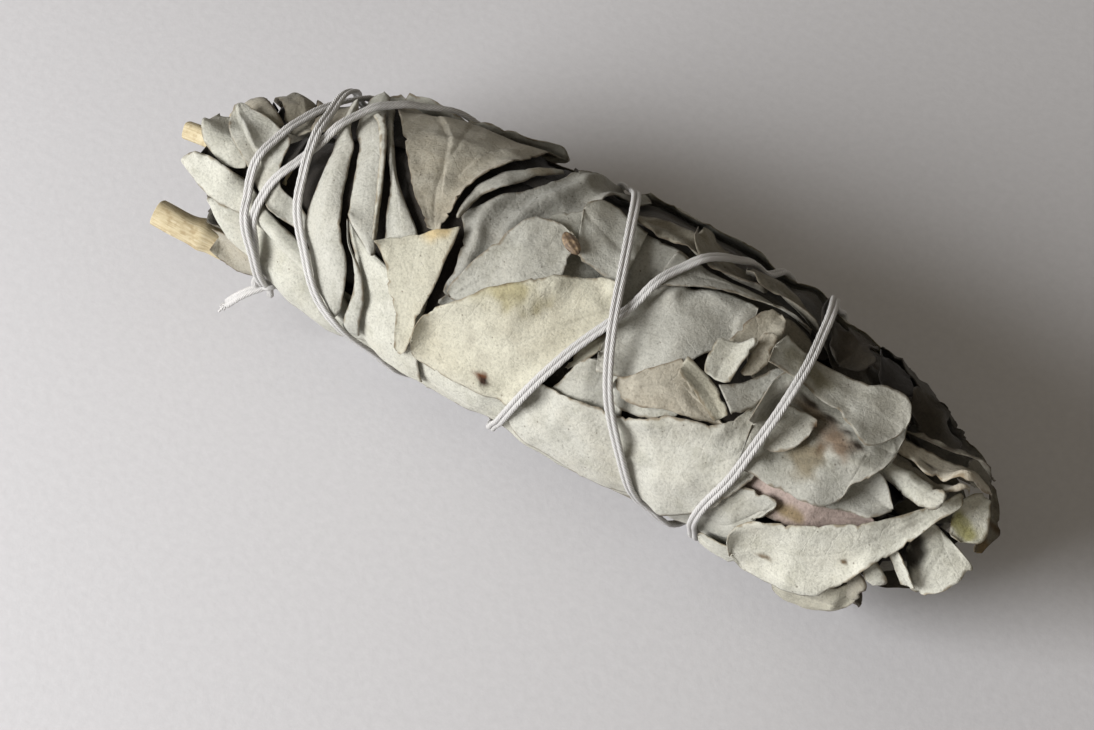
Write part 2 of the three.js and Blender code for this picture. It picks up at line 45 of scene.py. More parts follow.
# The bundle's own layout, in millimetres along it and degrees round it: 0 on top, 90 on the near side
bundle = {
    "axisHeight": 16.6,
    "packDepth": 2.3,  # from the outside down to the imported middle
    "roomBelow": 4.6,  # for the leaves that lie under it
    "twinePress": 0.8,  # how far the twine sinks in
    "bodyAlong": [-60, -56, -50, -44, -36, -26, -12, 4, 18, 30, 40, 48, 54, 58, 64],
    "bodyRadius": [5, 6.3, 8.2, 10.4, 12.8, 15, 16.6, 17.4, 17.6, 17.3, 16.2, 13.8, 11, 8.6, 7],
}
twineRoutes = {
    "twine_run_out": [
        (-35.8, 814), (-36.8, 792), (-37.5, 772), (-37, 753), (-35.2, 736), (-34, 722), (-32.8, 708),
        (-31.2, 694), (-28, 679), (-24, 662), (-18, 630), (-8, 540), (1, 450), (7, 405), (11, 381),
        (13.6, 360), (16.4, 346), (19, 333), (21, 312), (22, 290), (22.8, 270), (25, 180), (27.5, 90),
        (31, 52), (32.8, 15), (32, -15), (30.6, -35), (30.1, -47)],
    "twine_stem_loop": [
        (-35, 96), (-36, 78), (-38, 58), (-39.6, 42), (-40.3, 24), (-39.6, 2), (-38.6, -18), (-37.4, -40),
        (-36, -75), (-35.6, -120), (-36.5, -180), (-37, -225), (-36.6, -250), (-35.8, -262)],
    "twine_run_back": [
        (30.1, -47.6), (29.5, -90), (26, -180), (19.5, -270), (13.5, -315), (8, -360), (2, -405), (-4, -450),
        (-12, -540), (-20.4, -624), (-25.6, -646), (-29.4, -664), (-32.2, -682), (-33.6, -700), (-34.6, -716),
        (-35.6, -736), (-37.2, -764), (-37.8, -788), (-37, -806), (-36.2, -816)],
}


def bodyAt(x):
    return np.interp(x, bundle["bodyAlong"], bundle["bodyRadius"])


def axisAt(x):
    stem = np.maximum(0, -10 - x) / 45
    tip = np.maximum(0, x - 15) / 42
    return -3 * stem ** 2 - 2.5 * tip ** 2, bundle["axisHeight"] - 0.8 * (stem ** 2 + tip ** 2)


def place(x, angle, radius):
    y, z = axisAt(x)
    turn = np.radians(angle)
    return np.stack([x + 0 * turn, y - radius * np.sin(turn), z + radius * np.cos(turn)], -1)


def fromAxis(points):  # across the bundle, from its middle line to each point
    y, z = axisAt(points[..., 0])
    return np.stack([0 * y, points[..., 1] - y, points[..., 2] - z], -1)


def roundOf(points):  # degrees round the bundle and distance from its middle line
    away = fromAxis(points)
    return np.degrees(np.arctan2(-away[..., 1], away[..., 2])), np.hypot(away[..., 1], away[..., 2])


def ramp(value, low, high):
    t = np.clip((value - low) / (high - low), 0, 1)
    return t * t * (3 - 2 * t)


def curveThrough(values, t):  # a smooth line through evenly spaced stations
    v = np.asarray(values, float)
    n = len(v) - 1
    f = np.clip(np.asarray(t, float) * n, 0, n - 1e-9)
    i = f.astype(int)
    u = f - i
    if v.ndim > 1:
        u = u[..., None]
    p0, p1, p2, p3 = v[np.maximum(0, i - 1)], v[i], v[i + 1], v[np.minimum(n, i + 2)]
    m1, m2 = (p2 - p0) / 2, (p3 - p1) / 2
    a = 2 * p1 - 2 * p2 + m1 + m2
    b = -3 * p1 + 3 * p2 - 2 * m1 - m2
    return ((a * u + b) * u + m1) * u + p1


def roughLine(along, seed, size):  # jagged, from -1 to 1
    knots = np.random.RandomState(seed).uniform(-1, 1, 512)
    return np.interp(np.mod(along / size, 500), np.arange(512), knots)


def roughField(a, b, seed):  # smooth lumps one unit across, from 0 to 1
    table = np.random.RandomState(seed).rand(64, 64)
    a, b = a + 100.37, b + 100.71
    i, j = np.floor(a).astype(int), np.floor(b).astype(int)
    u, w = a - i, b - j
    u, w = u * u * (3 - 2 * u), w * w * (3 - 2 * w)
    low = table[i % 64, j % 64] * (1 - u) + table[(i + 1) % 64, j % 64] * u
    high = table[i % 64, (j + 1) % 64] * (1 - u) + table[(i + 1) % 64, (j + 1) % 64] * u
    return low * (1 - w) + high * w


# The finished bundle's outline: height over the plain body in mm, at stations along it, by direction round it
outlineAlong = [-56, -49, -44, -39, -34, -27, -18, -8, 4, 14, 22, 30, 38, 46, 56]
outline = {
    -135: [0, 0, 0, 0, 0, 0, 0, 0, 0, 0, 0, 0, 0, 0, 0],
    -95: [0, 0.3, 0.9, 1, 1.4, 1.5, 1.6, 1.5, 1.4, 1, 0.4, -0.2, -1.6, -2.2, -1.6],
    -52: [-0.9, 1.2, 1.5, 1, 3, 2.4, 1.2, 0.5, 0, -0.9, -1.5, -2.2, -3.3, -3.6, -2.8],
    -18: [-0.3, 0.8, 1, 0.9, 1.1, 1.3, 1.4, 1.6, 1.6, 1.2, 0.6, 0.1, -0.4, -0.4, -0.2],
    40: [0, 0.6, 0.8, 0.8, 0.8, 0.9, 1, 1.1, 1.1, 1, 0.9, 0.7, 0.5, 0.3, 0],
    82: [0, 0.6, 0.9, 0.7, 0.5, 0.5, 0.5, 0.4, 0.4, 0.4, 0.4, 0.4, 0.6, 0.5, 0],
    112: [0, 0.4, 1, 0.6, -0.3, -0.6, -0.8, -1.2, -1.2, -1, -1.1, -0.8, 0.6, 0.8, -1],
    150: [0, 0, 0, 0, 0, 0, 0, 0, 0, 0, 0, 0, 0, 0, 0],
}

# Height maps over a grid along and round the bundle: what is laid so far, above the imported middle
stepX, stepA, arcStep = 0.25, 1.0, 0.28  # mm, degrees, and that degree in mm round the bundle
gridX = np.arange(-66, 68.01, stepX)
gridA = np.arange(0, 360, stepA)
mapX, mapA = np.meshgrid(gridX, gridA, indexing="ij")


def underLimit(angle, height):
    c = -np.cos(np.radians(angle))
    return np.where(c > 0.2, height / np.maximum(c, 0.2), 99.0)


def nearestLine(points, squash=None):  # map of the distance in mm to a line of (x, angle) points
    best = np.full(mapX.shape, 99.0)
    for px, pa in points:
        near = np.abs(gridX - px) < 8
        turn = np.mod(mapA[near] - pa + 180, 360) - 180
        scale = squash or math.radians(float(bodyAt(px)))
        best[near] = np.minimum(best[near], np.hypot(mapX[near] - px, turn * scale))
    return best


twineSpots = np.concatenate([
    curveThrough(route, np.linspace(0, 1, len(route) * 8 + 1)) for route in twineRoutes.values()])
twineGap = nearestLine(twineSpots, 0.3)


def coreHeight():
    low = underLimit(mapA, axisAt(mapX)[1] - bundle["roomBelow"])
    groove = bundle["twinePress"] * (1 - ramp(twineGap, 0.8, 4.5))
    near = np.maximum(0, np.sin(np.radians(mapA)))
    full = bodyAt(mapX) - bundle["packDepth"] - 1.2 * near ** 3
    soft = 1.3  # mm over which the two shapes run together
    return -soft * np.log(np.exp(-full / soft) + np.exp(-low / soft)) - groove


core = coreHeight()

# Dark gaps where the leaves don't meet: how wide each is, and points along it
gapDepth = 4.2
gaps = [
    (0.8, [(-31.3, -8), (-29.6, -2), (-28.7, 6), (-27.6, 15), (-26.7, 25), (-25.6, 33)]),
    (1.0, [(-25.6, 33), (-24.5, 41), (-23.2, 49), (-22.3, 57), (-22, 65), (-22.1, 73), (-22.4, 80)]),
    (0.9, [(-25.6, 31), (-23.5, 38), (-21.8, 42.5), (-20, 45.5)]),
    (0.8, [(-24.6, 3), (-23, 9), (-22.2, 16), (-21.4, 24), (-20.5, 31), (-20, 35.5)]),
    (1.6, [(-29.8, -33), (-27.5, -22), (-25.8, -10), (-24, 0), (-21.5, 9), (-18.8, 18), (-16, 25.5)]),
    (1.6, [(-38.6, -3), (-37, 2), (-35.8, 8), (-35.9, 13)]),
    (1.3, [(-36.2, 47), (-33.5, 50.5), (-31.3, 53)]),
    (1.1, [(-35.5, 29.5), (-34.4, 30), (-33.3, 33.5)]),
    (1.2, [(-34.3, 22), (-34.6, 25), (-34.8, 28)]),
    (1.3, [(-33, 6), (-32.7, 8), (-32.6, 10)]),
    (0.6, [(-32.5, 17), (-32, 20), (-31.6, 24)]),
    (1.6, [(-52, 31), (-48, 30.5), (-44.5, 31), (-42, 33.5), (-40.7, 40)]),
    (1.0, [(-48.6, -23), (-48.2, -18), (-47.4, -13)]),
    (1.0, [(-45.6, -19), (-44, -14), (-42.5, -10), (-40.4, -4)]),
    (1.5, [(-47, -60), (-45, -46), (-43, -30), (-41.3, -18), (-40.3, -10)]),
    (0.9, [(-39, 14), (-38, 20), (-37, 22)]),
    (0.5, [(-45.2, 60.5), (-42, 60), (-39, 60)]),
    (1.2, [(-10.5, 17), (-10.4, 30), (-10.4, 42), (-10.9, 52), (-11.4, 58)]),
    (0.6, [(-11.8, 62), (-11.9, 68), (-11.9, 75)]),
    (0.8, [(-10.2, 31), (-9, 31), (-8, 31)]),
    (0.7, [(-12.9, 17), (-12.9, 8), (-12.7, 0), (-11.4, -8), (-10.4, -15), (-9.6, -22)]),
    (1.5, [(-9.5, -22), (-9.3, -32), (-9.2, -44), (-9.2, -60)]),
    (1.0, [(-11, 5), (-10.4, 0), (-8.7, -6), (-7.5, -14), (-6.2, -20), (-4.8, -27), (-4, -40),
        (-3.6, -60)]),
    (1.4, [(-1.6, -1), (-0.4, -5), (0.4, -11), (1.6, -17), (3, -20)]),
    (1.3, [(24.2, -11), (23.5, -3), (22.4, 5), (22, 12), (21.3, 17), (20.4, 20)]),
    (1.6, [(20.4, 20), (22, 23.6), (24.6, 26)]),
    (0.9, [(26, 12), (25.8, 16), (25.9, 19.5)]),
    (1.6, [(27.6, -12), (28.3, -2), (28.6, 6), (28.3, 14)]),
    (0.7, [(9, 58.3), (11, 57.2), (13.7, 56.3)]),
    (0.8, [(15.2, 55), (17, 53), (19, 49.5)]),
    (0.5, [(15, 48.5), (16.8, 49.8), (18.5, 48.6)]),
    (1.0, [(32.5, 51), (35, 52.6), (37, 52.3), (40, 51), (43, 49.6), (45.6, 47)]),
    (0.7, [(35, 68), (38, 64), (41, 58), (44, 52)]),
    (0.7, [(26, 67), (28, 64.3), (29.3, 62.8)]),
    (2.2, [(46.2, 24), (47.2, 28.5), (48.6, 31), (50, 28.5)]),
    (2.2, [(33, -4), (36, -3.5), (38.5, -7), (41, -12.5), (44, -14), (45.7, -6), (46, 0)]),
    (2.6, [(51.8, 42), (51.7, 52), (52.6, 62), (54, 74)]),
    (1.0, [(-8.3, 77), (-7.2, 77.6), (-6, 77.3)]),
    (0.6, [(-2, 77), (1, 76.6), (4, 79), (6.5, 83)]),
]


def carved():
    depth = np.zeros(mapX.shape)
    for wide, points in gaps:
        gone = nearestLine(curveThrough(points, np.linspace(0, 1, 24 * len(points))))
        depth = np.maximum(depth, gapDepth * (1 - ramp(gone, 0.3 * wide, 0.75 * wide + 0.25)))
    return depth


cover = -carved()


def sample(table, x, angle):
    fx = np.clip((x - gridX[0]) / stepX, 0, len(gridX) - 1.001)
    fa = np.mod(angle, 360) / stepA
    i, j = fx.astype(int), fa.astype(int) % len(gridA)
    k = (j + 1) % len(gridA)
    u, w = fx - i, fa - np.floor(fa)
    low, high = table[i, j] * (1 - u) + table[i + 1, j] * u, table[i, k] * (1 - u) + table[i + 1, k] * u
    return low * (1 - w) + high * w


def widen(table, reach, pick=np.maximum):
    for axis, count in ((0, round(reach / stepX)), (1, round(reach / arcStep))):
        start = table
        for k in range(1, count + 1):
            table = pick(table, pick(np.roll(start, k, axis), np.roll(start, -k, axis)))
    return table


def bridged(reach):  # the cover with every hollow narrower than twice the reach filled
    return widen(widen(cover, reach), reach, np.minimum)


def markCover(points):  # points: x, y, z in mm
    angle, radius = roundOf(points)
    i = np.round((points[..., 0] - gridX[0]) / stepX).astype(int)
    j = np.round(np.mod(angle, 360) / stepA).astype(int)
    for di in (-1, 0, 1):
        for dj in (-1, 0, 1):
            ii, jj = np.clip(i + di, 0, len(gridX) - 1), (j + dj) % len(gridA)
            np.maximum.at(cover, (ii, jj), radius - core[ii, jj])


laidPieces = []


def outlineAt(x, angle):
    turns = sorted(outline)
    rings = [np.interp(x, outlineAlong, outline[turn]) for turn in turns]
    at = np.mod(angle + 180, 360) - 180
    height = np.zeros(np.shape(x))
    for k in range(len(turns) - 1):
        share = ramp(at, turns[k], turns[k + 1])
        inside = (at >= turns[k]) & (at < turns[k + 1])
        height = np.where(inside, rings[k] * (1 - share) + rings[k + 1] * share, height)
    return height


def settleOutline():  # press the laid bundle in or out, smoothly, until its outline is right
    reach, most = 3.0, 3.0  # mm of smoothing, and the most that a leaf is moved
    surface = core + widen(cover, 0.6)
    for _ in range(3):
        for axis, count in ((0, round(reach / stepX)), (1, round(reach / arcStep))):
            surface = sum(np.roll(surface, k, axis) for k in range(-count, count + 1)) / (2 * count + 1)
    at = np.mod(mapA + 180, 360) - 180
    hold = ramp(at, -140, -100) * (1 - ramp(at, 118, 148)) * ramp(mapX, -53, -46) * (1 - ramp(mapX, 48, 55))
    move = np.clip(bodyAt(mapX) + outlineAt(mapX, mapA) - surface, -most, most) * hold
    for piece in laidPieces:
        if piece.name.startswith("stem"):
            continue
        mesh = piece.data
        points = np.zeros(len(mesh.vertices) * 3)
        mesh.vertices.foreach_get("co", points)
        points = points.reshape(-1, 3) / mm - np.array(frameShift)
        angle, radius = roundOf(points)
        radius = radius + sample(move, points[:, 0], angle) * ramp(radius, 2, 8)
        pressed = place(points[:, 0], angle, radius)
        mesh.vertices.foreach_set("co", ((pressed + np.array(frameShift)) * mm).reshape(-1))
        mesh.update()


def finerGrid(grid, times):
    rows = np.linspace(0, grid.shape[0] - 1, (grid.shape[0] - 1) * times + 1)
    cols = np.linspace(0, grid.shape[1] - 1, (grid.shape[1] - 1) * times + 1)
    i, j = np.minimum(rows.astype(int), grid.shape[0] - 2), np.minimum(cols.astype(int), grid.shape[1] - 2)
    u, w = (rows - i)[:, None, None], (cols - j)[None, :, None]
    a, b = grid[i][:, j], grid[i][:, j + 1]
    c, d = grid[i + 1][:, j], grid[i + 1][:, j + 1]
    return (a * (1 - w) + b * w) * (1 - u) + (c * (1 - w) + d * w) * u


# Materials
def toLinear(code):
    parts = [int(code[k:k + 2], 16) / 255 for k in (1, 3, 5)]
    return [c / 12.92 if c <= 0.04045 else ((c + 0.055) / 1.055) ** 2.4 for c in parts] + [1]


def setInputs(tree, node, inputs):  # numbers, colour codes, sockets, or nodes for their first output
    for key, value in inputs.items():
        if isinstance(value, bpy.types.Node):
            value = value.outputs[0]
        if isinstance(value, bpy.types.NodeSocket):
            tree.links.new(value, node.inputs[key])
        else:
            node.inputs[key].default_value = toLinear(value) if isinstance(value, str) else value


def addNode(tree, kind, inputs=None, stops=(), **settings):
    node = tree.nodes.new("ShaderNode" + kind)
    for key, value in settings.items():
        setattr(node, key, value)
    setInputs(tree, node, inputs or {})
    for k, (position, colour) in enumerate(stops):
        band = node.color_ramp.elements
        element = band[k] if k < 2 else band.new(position)
        element.position = position
        element.color = toLinear(colour) if isinstance(colour, str) else (colour, colour, colour, 1)
    return node


def newMaterial(name):  # spot is the place on the object in millimetres
    material = bpy.data.materials.new(name)
    material.use_nodes = True
    tree = material.node_tree
    where = addNode(tree, "TexCoord")
    spot = addNode(tree, "Mapping", {"Vector": where.outputs["Object"], "Scale": (1000, 1000, 1000)})
    return material, tree, tree.nodes["Principled BSDF"], where.outputs["UV"], spot


# Dried white sage leaf: a thick felt of short hairs, matt and chalky, sunken veins, torn edges dried brown
# with painted edge shade
leafFinishes = {  # the felt, its lights and darks, its warm patches and how far they show, and the rim: dried brown plus painted edge shade
    "paleSage": ("#B4B3AA", "#C0BFB7", "#9F9E93", "#B6B09F", 0.35, "#6E5F47"),
    "greySage": ("#A8A79F", "#B4B3AB", "#929087", "#A9A292", 0.3, "#635640"),
    "oliveSage": ("#B7B4A4", "#C3C0B2", "#A39F90", "#B5AE99", 0.45, "#6E5F47"),
    "warmSage": ("#B1AB9C", "#BDB8AA", "#999283", "#AEA28D", 0.45, "#69583F"),
    "tanSage": ("#A39E90", "#B1AC9E", "#878172", "#9E927B", 0.45, "#5C4C37"),
    "brownSage": ("#858072", "#959081", "#686356", "#7D725F", 0.45, "#46392A"),
    "pinkSage": ("#AD9C94", "#BBACA4", "#918279", "#ADA38A", 0.5, "#665341"),
    "creamSage": ("#BFBEB3", "#C9C8BE", "#ABAA9D", "#C0BAA8", 0.3, "#74654A"),
    # the dark finish is dried leaf darkened further with painted shade, for the far side that faces away from
    # the light
    "darkSageWithPaintedShade": ("#3E392F", "#514B3F", "#29251D", "#3E3326", 0.5, "#2B241B"),
    # the inner finish is painted shade: nearly black, it stands for the shadow inside the bundle and in its
    # hollows
    "innerPaintedShade": ("#241F18", "#302B22", "#17130E", "#281F15", 0.5, "#1D1812"),
}


def makeLeafMaterial(name, mid, light, shade, warm, warmShare, rim):
    material, tree, shader, flat, spot = newMaterial(name)
    onLeaf = addNode(tree, "Mapping", {"Vector": flat, "Scale": (100, 100, 1)})
    mottle = addNode(tree, "TexNoise", {"Vector": spot, "Scale": 0.34, "Detail": 6.0, "Roughness": 0.68})
    base = addNode(tree, "ValToRGB", {"Fac": mottle}, [
        (0.3, shade), (0.5, mid), (0.62, mid), (0.75, light)])
    patch = addNode(tree, "TexNoise", {"Vector": spot, "Scale": 0.11, "Detail": 4.0, "Roughness": 0.6})
    patchShare = addNode(tree, "MapRange", {
        "Value": patch, "From Min": 0.45, "From Max": 0.7, "To Max": warmShare})
    warmed = addNode(tree, "Mix", {0: patchShare, 6: base, 7: warm}, data_type="RGBA")
    # veins: a midrib and side veins every 3 mm, in the leaf's own flat map
    split = addNode(tree, "SeparateXYZ", {"Vector": onLeaf})
    wobble = addNode(tree, "TexNoise", {"Vector": onLeaf, "Scale": 0.5, "Detail": 2.0})
    across = addNode(tree, "Math", {0: split.outputs["X"]}, operation="ABSOLUTE")
    slant = addNode(tree, "Math", {0: across, 1: -0.85, 2: split.outputs["Y"]}, operation="MULTIPLY_ADD")
    bent = addNode(tree, "Math", {0: wobble, 1: 2.2, 2: slant}, operation="MULTIPLY_ADD")
    saw = addNode(tree, "Math", {0: bent, 1: 1.6}, operation="PINGPONG")
    sideVein = addNode(tree, "MapRange", {"Value": saw, "From Max": 0.16})
    midVein = addNode(tree, "MapRange", {"Value": across, "From Max": 0.28})
    veinLevel = addNode(tree, "Math", {0: sideVein, 1: midVein}, operation="MULTIPLY")
    veinShare = addNode(tree, "MapRange", {"Value": veinLevel, "To Min": 0.16, "To Max": 0.0})
    veined = addNode(tree, "Mix", {0: veinShare, 6: warmed.outputs[2], 7: light}, data_type="RGBA")
    # the felt: matted hairs and glands that read as fine sand, 0.2 to 0.4 mm across
    felt = addNode(tree, "TexNoise", {"Vector": spot, "Scale": 3.2, "Detail": 4.0, "Roughness": 0.8})
    feltTone = addNode(tree, "ValToRGB", {"Fac": felt}, [
        (0.32, 0.64), (0.44, 0.91), (0.52, 1.0), (0.7, 1.13)])
    felted = addNode(tree, "Mix", {0: 1.0, 6: veined.outputs[2], 7: feltTone},
                     data_type="RGBA", blend_type="MULTIPLY")
    # resin glands and grit: dark dots of about 0.2 mm, few and scattered
    dots = addNode(tree, "TexVoronoi", {"Vector": spot, "Scale": 0.5, "Randomness": 1.0})
    dotShare = addNode(tree, "MapRange", {
        "Value": dots, "From Min": 0.04, "From Max": 0.08, "To Min": 0.6, "To Max": 0.0})
    dotted = addNode(tree, "Mix", {0: dotShare, 6: felted.outputs[2], 7: "#4A3E30"}, data_type="RGBA")
    # torn and cut edges dry to brown; the rim colour is darker still as painted shade, the thin shadow line
    # along each leaf edge
    edge = addNode(tree, "Attribute", attribute_name="leafEdge").outputs["Fac"]
    edgeNoise = addNode(tree, "TexNoise", {"Vector": spot, "Scale": 0.8, "Detail": 4.0})
    edgeReach = addNode(tree, "Math", {0: edgeNoise, 1: -1.5, 2: edge}, operation="MULTIPLY_ADD")
    edgeShare = addNode(tree, "MapRange", {
        "Value": edgeReach, "From Min": -0.8, "From Max": -0.45, "To Min": 0.75, "To Max": 0.0})
    edged = addNode(tree, "Mix", {0: edgeShare, 6: dotted.outputs[2], 7: rim}, data_type="RGBA")
    tone = addNode(tree, "Attribute", attribute_name="leafTone").outputs["Color"]
    toned = addNode(tree, "Mix", {0: 1.0, 6: edged.outputs[2], 7: tone},
                    data_type="RGBA", blend_type="MULTIPLY")
    pucker = addNode(tree, "TexNoise", {"Vector": spot, "Scale": 0.9, "Detail": 3.0})
    sandy = addNode(tree, "Bump", {"Height": felt, "Strength": 0.9, "Distance": 0.00016})
    puckered = addNode(tree, "Bump", {"Height": pucker, "Normal": sandy, "Strength": 0.4, "Distance": 0.0004})
    ribbed = addNode(tree, "Bump", {
        "Height": veinLevel, "Normal": puckered, "Strength": 0.25, "Distance": 0.0001})
    setInputs(tree, shader, {
        "Base Color": toned.outputs[2], "Normal": ribbed, "Roughness": 0.92, "Specular IOR Level": 0.25,
        "Sheen Weight": 0.1, "Sheen Roughness": 0.6})
    return material


leafMaterials = {name: makeLeafMaterial(name, *tones) for name, tones in leafFinishes.items()}
print("stage: leaf materials made")

# Leaves, in mm and degrees. "edges" has along, degrees and, where it stands free, radius for each of the two
# edges from row to row. "line" has along, degrees and width down the middle
plainLeaf = {
    "finish": "paleSage", "slot": "leaf", "tone": 1.0, "cell": 0.4, "thick": 0.28,
    "gap": 0.06, "bridge": 2.3, "ease": 30,  # how it rests on the leaves below
    "wave": 0.35, "waveSize": 6.5, "crease": 0.14, "creaseSize": 4.0, "furrow": 0.0, "furrowSize": 3.0,
    "midrib": 0.12, "swell": 0.0, "liftA": 0.15, "liftB": 0.15, "rise": None, "folds": (), "under": False,
    "ragged": 0.1, "nick": 0.45, "tornA": 0.0, "tornB": 0.0, "tornStart": 0.0, "tornEnd": 0.0,
    "roundStart": 3.0, "roundEnd": 3.0, "stainsAndShade": (),
}
leafSeeds = itertools.count(17, 17)  # each leaf draws its own roughness


def leafRows(look, t):  # middle, across direction and half width of each row of a leaf
    if "edges" in look:
        e = curveThrough(look["edges"], t)
        wide = e.shape[1] // 2
        a, b = e[:, :wide], e[:, wide:]
        middle = (a + b) / 2
        scale = np.radians(np.maximum(6, bodyAt(middle[:, 0])))
        dx, ds = b[:, 0] - a[:, 0], (b[:, 1] - a[:, 1]) * scale
        long = np.maximum(np.hypot(dx, ds), 0.05)
        level = None if wide < 3 else (a[:, 2], b[:, 2])
        return middle[:, 0], middle[:, 1], dx / long, ds / long, long / 2, scale, level
    at = curveThrough(look["line"], t)
    before, after = (curveThrough(look["line"], np.clip(t + shift, 0, 1)) for shift in (-0.01, 0.01))
    step = after - before
    scale = np.radians(np.maximum(6, bodyAt(at[:, 0])))
    dx, ds = step[:, 0], step[:, 1] * scale
    long = np.hypot(dx, ds)
    return at[:, 0], at[:, 1], -ds / long, dx / long, at[:, 2] / 2, scale, None


def foldHeight(x, angle, fold):  # a sharp crease: the left of the line stands higher and eases away
    line = curveThrough(fold["line"], np.linspace(0, 1, 12 * len(fold["line"])))
    scale = np.radians(bodyAt(x))
    dx, ds = x[..., None] - line[:, 0], (angle[..., None] - line[:, 1]) * scale[..., None]
    gone = np.hypot(dx, ds)
    near = np.argmin(gone, -1)
    gone = np.take_along_axis(gone, near[..., None], -1)[..., 0]
    step = np.gradient(line, axis=0)[near]
    offX = np.take_along_axis(dx, near[..., None], -1)[..., 0]
    offS = np.take_along_axis(ds, near[..., None], -1)[..., 0]
    side = offX * step[..., 1] * scale - offS * step[..., 0]
    share = near / (len(line) - 1)
    hold = ramp(share, 0, 0.12) * (1 - ramp(share, 0.8, 1))
    left, right = fold["high"] * np.exp(-gone / fold["reach"]), -0.12 * np.exp(-gone / 0.7)
    return np.where(side > 0, left, right) * hold


def leafMargins(look, seed, half, along, length):  # half widths on the two sides, rounded, nicked and torn
    for distance, reach in ((along, look["roundStart"]), (length - along, look["roundEnd"])):
        if reach > 0:
            half = half * np.sqrt(np.clip(1 - (1 - np.clip(distance / reach, 0, 1)) ** 2, 0.003, 1))
    half = np.maximum(0.12, half)
    sides = []
    for turn, torn, tear in ((1, look["tornA"], 31), (4, look["tornB"], 36)):
        uneven = roughLine(along, seed + turn, 0.8) + 0.8 * roughLine(along, seed + turn + 1, 3.1)
        nicks = look["nick"] * ramp(roughLine(along, seed + turn + 2, 0.7), 0.6, 1)
        side = half + (look["ragged"] * uneven - nicks) + torn * roughLine(along, seed + tear, 1.3)
        sides.append(np.maximum(0.1, side))
    return sides


def restHeight(look, x, angle):  # radius at which the leaf lies on what is there already
    least = sample(widen(cover, 0.3), x, angle)
    base = np.maximum(least, sample(bridged(look["bridge"]), x, angle))
    for _ in range(look["ease"]):
        pad = np.pad(base, 1, mode="edge")
        base = np.maximum(least, (pad[:-2, 1:-1] + pad[2:, 1:-1] + pad[1:-1, :-2] + pad[1:-1, 2:]) / 4)
    return sample(core, x, angle) + base + look["gap"] + look["thick"]


def leafRelief(look, seed, t, v, across, along):  # lumps, creases, furrows, lifted edges and midrib
    size, creaseSize = look["waveSize"], look["creaseSize"]
    lumps = roughField(along / size, across / size, seed + 9) - 0.25
    lumps = lumps + 0.4 * (roughField(along / size * 2.3, across / size * 2.3, seed + 10) - 0.3)
    crease = 1 - np.abs(2 * roughField(along / creaseSize, across / creaseSize * 1.4, seed + 11) - 1)
    wander = 0.7 * roughField(along / 9, across / 9, seed + 12)
    ridge = 0.5 + 0.5 * np.cos(2 * np.pi * (across / look["furrowSize"] + wander))
    flutter = 0.5 + 0.7 * roughField(along / 4, v * 0.7, seed + 13)
    relief = look["wave"] * lumps + look["crease"] * crease ** 5 + look["furrow"] * ridge ** 1.5
    relief = relief + look["swell"] * (1 - v ** 2)
    relief = relief + (look["liftA"] * ramp(-v, 0.45, 1) + look["liftB"] * ramp(v, 0.45, 1)) * flutter
    relief = relief - look["midrib"] * np.exp(-(across / 0.4) ** 2)
    if look["rise"]:
        relief = relief + curveThrough(look["rise"], t)[:, None]
    return relief


def leafTones(look, seed, x, angle):  # the leaf's own tone, with its stains and, on some leaves, patches of painted shade
    tone = np.ones((*x.shape, 3)) * look["tone"] * np.random.RandomState(seed).uniform(0.95, 1.05)
    for tx, ta, rx, ra, code in look["stainsAndShade"]:
        gone = np.hypot((x - tx) / rx, (angle - ta) / ra)
        gone = gone + 0.8 * (roughField(x / 1.1, angle / 4, seed + 14) - 0.5)
        share = (1 - ramp(gone, 0.4, 1.25))[..., None]
        tone = tone * (1 - share) + tone * np.array(toLinear(code)[:3]) / 0.45 * share
    return tone


def layLeaf(name, look):
    look = {**plainLeaf, **look}
    seed = next(leafSeeds)
    trial = leafRows(look, np.linspace(0, 1, 60))
    length = float(np.hypot(np.diff(trial[0]), np.diff(trial[1]) * trial[5][1:]).sum())
    rows = max(8, round(length / look["cell"]))
    cols = max(6, round(float(trial[4].max()) * 2 / look["cell"]))
    t, v = np.linspace(0, 1, rows + 1), np.linspace(-1, 1, cols + 1)[None, :]
    x0, a0, ux, ua, half, scale, level = leafRows(look, t)
    halfA, halfB = leafMargins(look, seed, half, t * length, length)
    reach = np.where(v < 0, halfA[:, None], halfB[:, None])
    across = v * reach
    along = (t * length)[:, None] + 0 * across
    nearEnd = length - 3
    tornEnd = look["tornEnd"] * roughLine(across, seed + 7, 1.2) * ramp(along, nearEnd, length)
    tornStart = look["tornStart"] * roughLine(across, seed + 8, 1.2) * ramp(length - along, nearEnd, length)
    endShift = tornEnd - tornStart
    x0, a0, ux, ua, scale = (row[:, None] for row in (x0, a0, ux, ua, scale))
    x = x0 + ux * across + ua * endShift
    angle = a0 + (ua * across - ux * endShift) / scale
    if level is None:
        radius = restHeight(look, x0 + ux * across, a0 + ua * across / scale)
    else:
        share = (v + 1) / 2
        radius = level[0][:, None] * (1 - share) + level[1][:, None] * share
    relief = leafRelief(look, seed, t, v, across, along)
    for fold in look["folds"]:
        relief = relief + foldHeight(x, angle, fold)
    radius = radius + relief
    if look["under"]:  # pressed flat by what the bundle rests on, except beside the twine
        free = ramp(sample(twineGap, x, angle), 2.2, 6)
        face = np.minimum(bodyAt(x) + 0.7, underLimit(angle, axisAt(x)[1] - 0.05))
        radius = np.maximum(radius, radius * (1 - free) + face * free)
    points = place(x, angle, radius)
    points[..., 2] = np.maximum(points[..., 2], 0.05)
    markCover(finerGrid(points, max(1, math.ceil(look["cell"] / 0.36))))
    ends = np.minimum(along + 0.4, length - along + 0.4)
    edgeSpan = np.minimum(np.minimum(reach * (1 - np.abs(v)), ends), 9)
    leafObject(name, look, points, across, along, edgeSpan, leafTones(look, seed, x, angle))


def layLeaves(common, leaves):
    for name, look in leaves.items():
        layLeaf(name, {**common, **look})


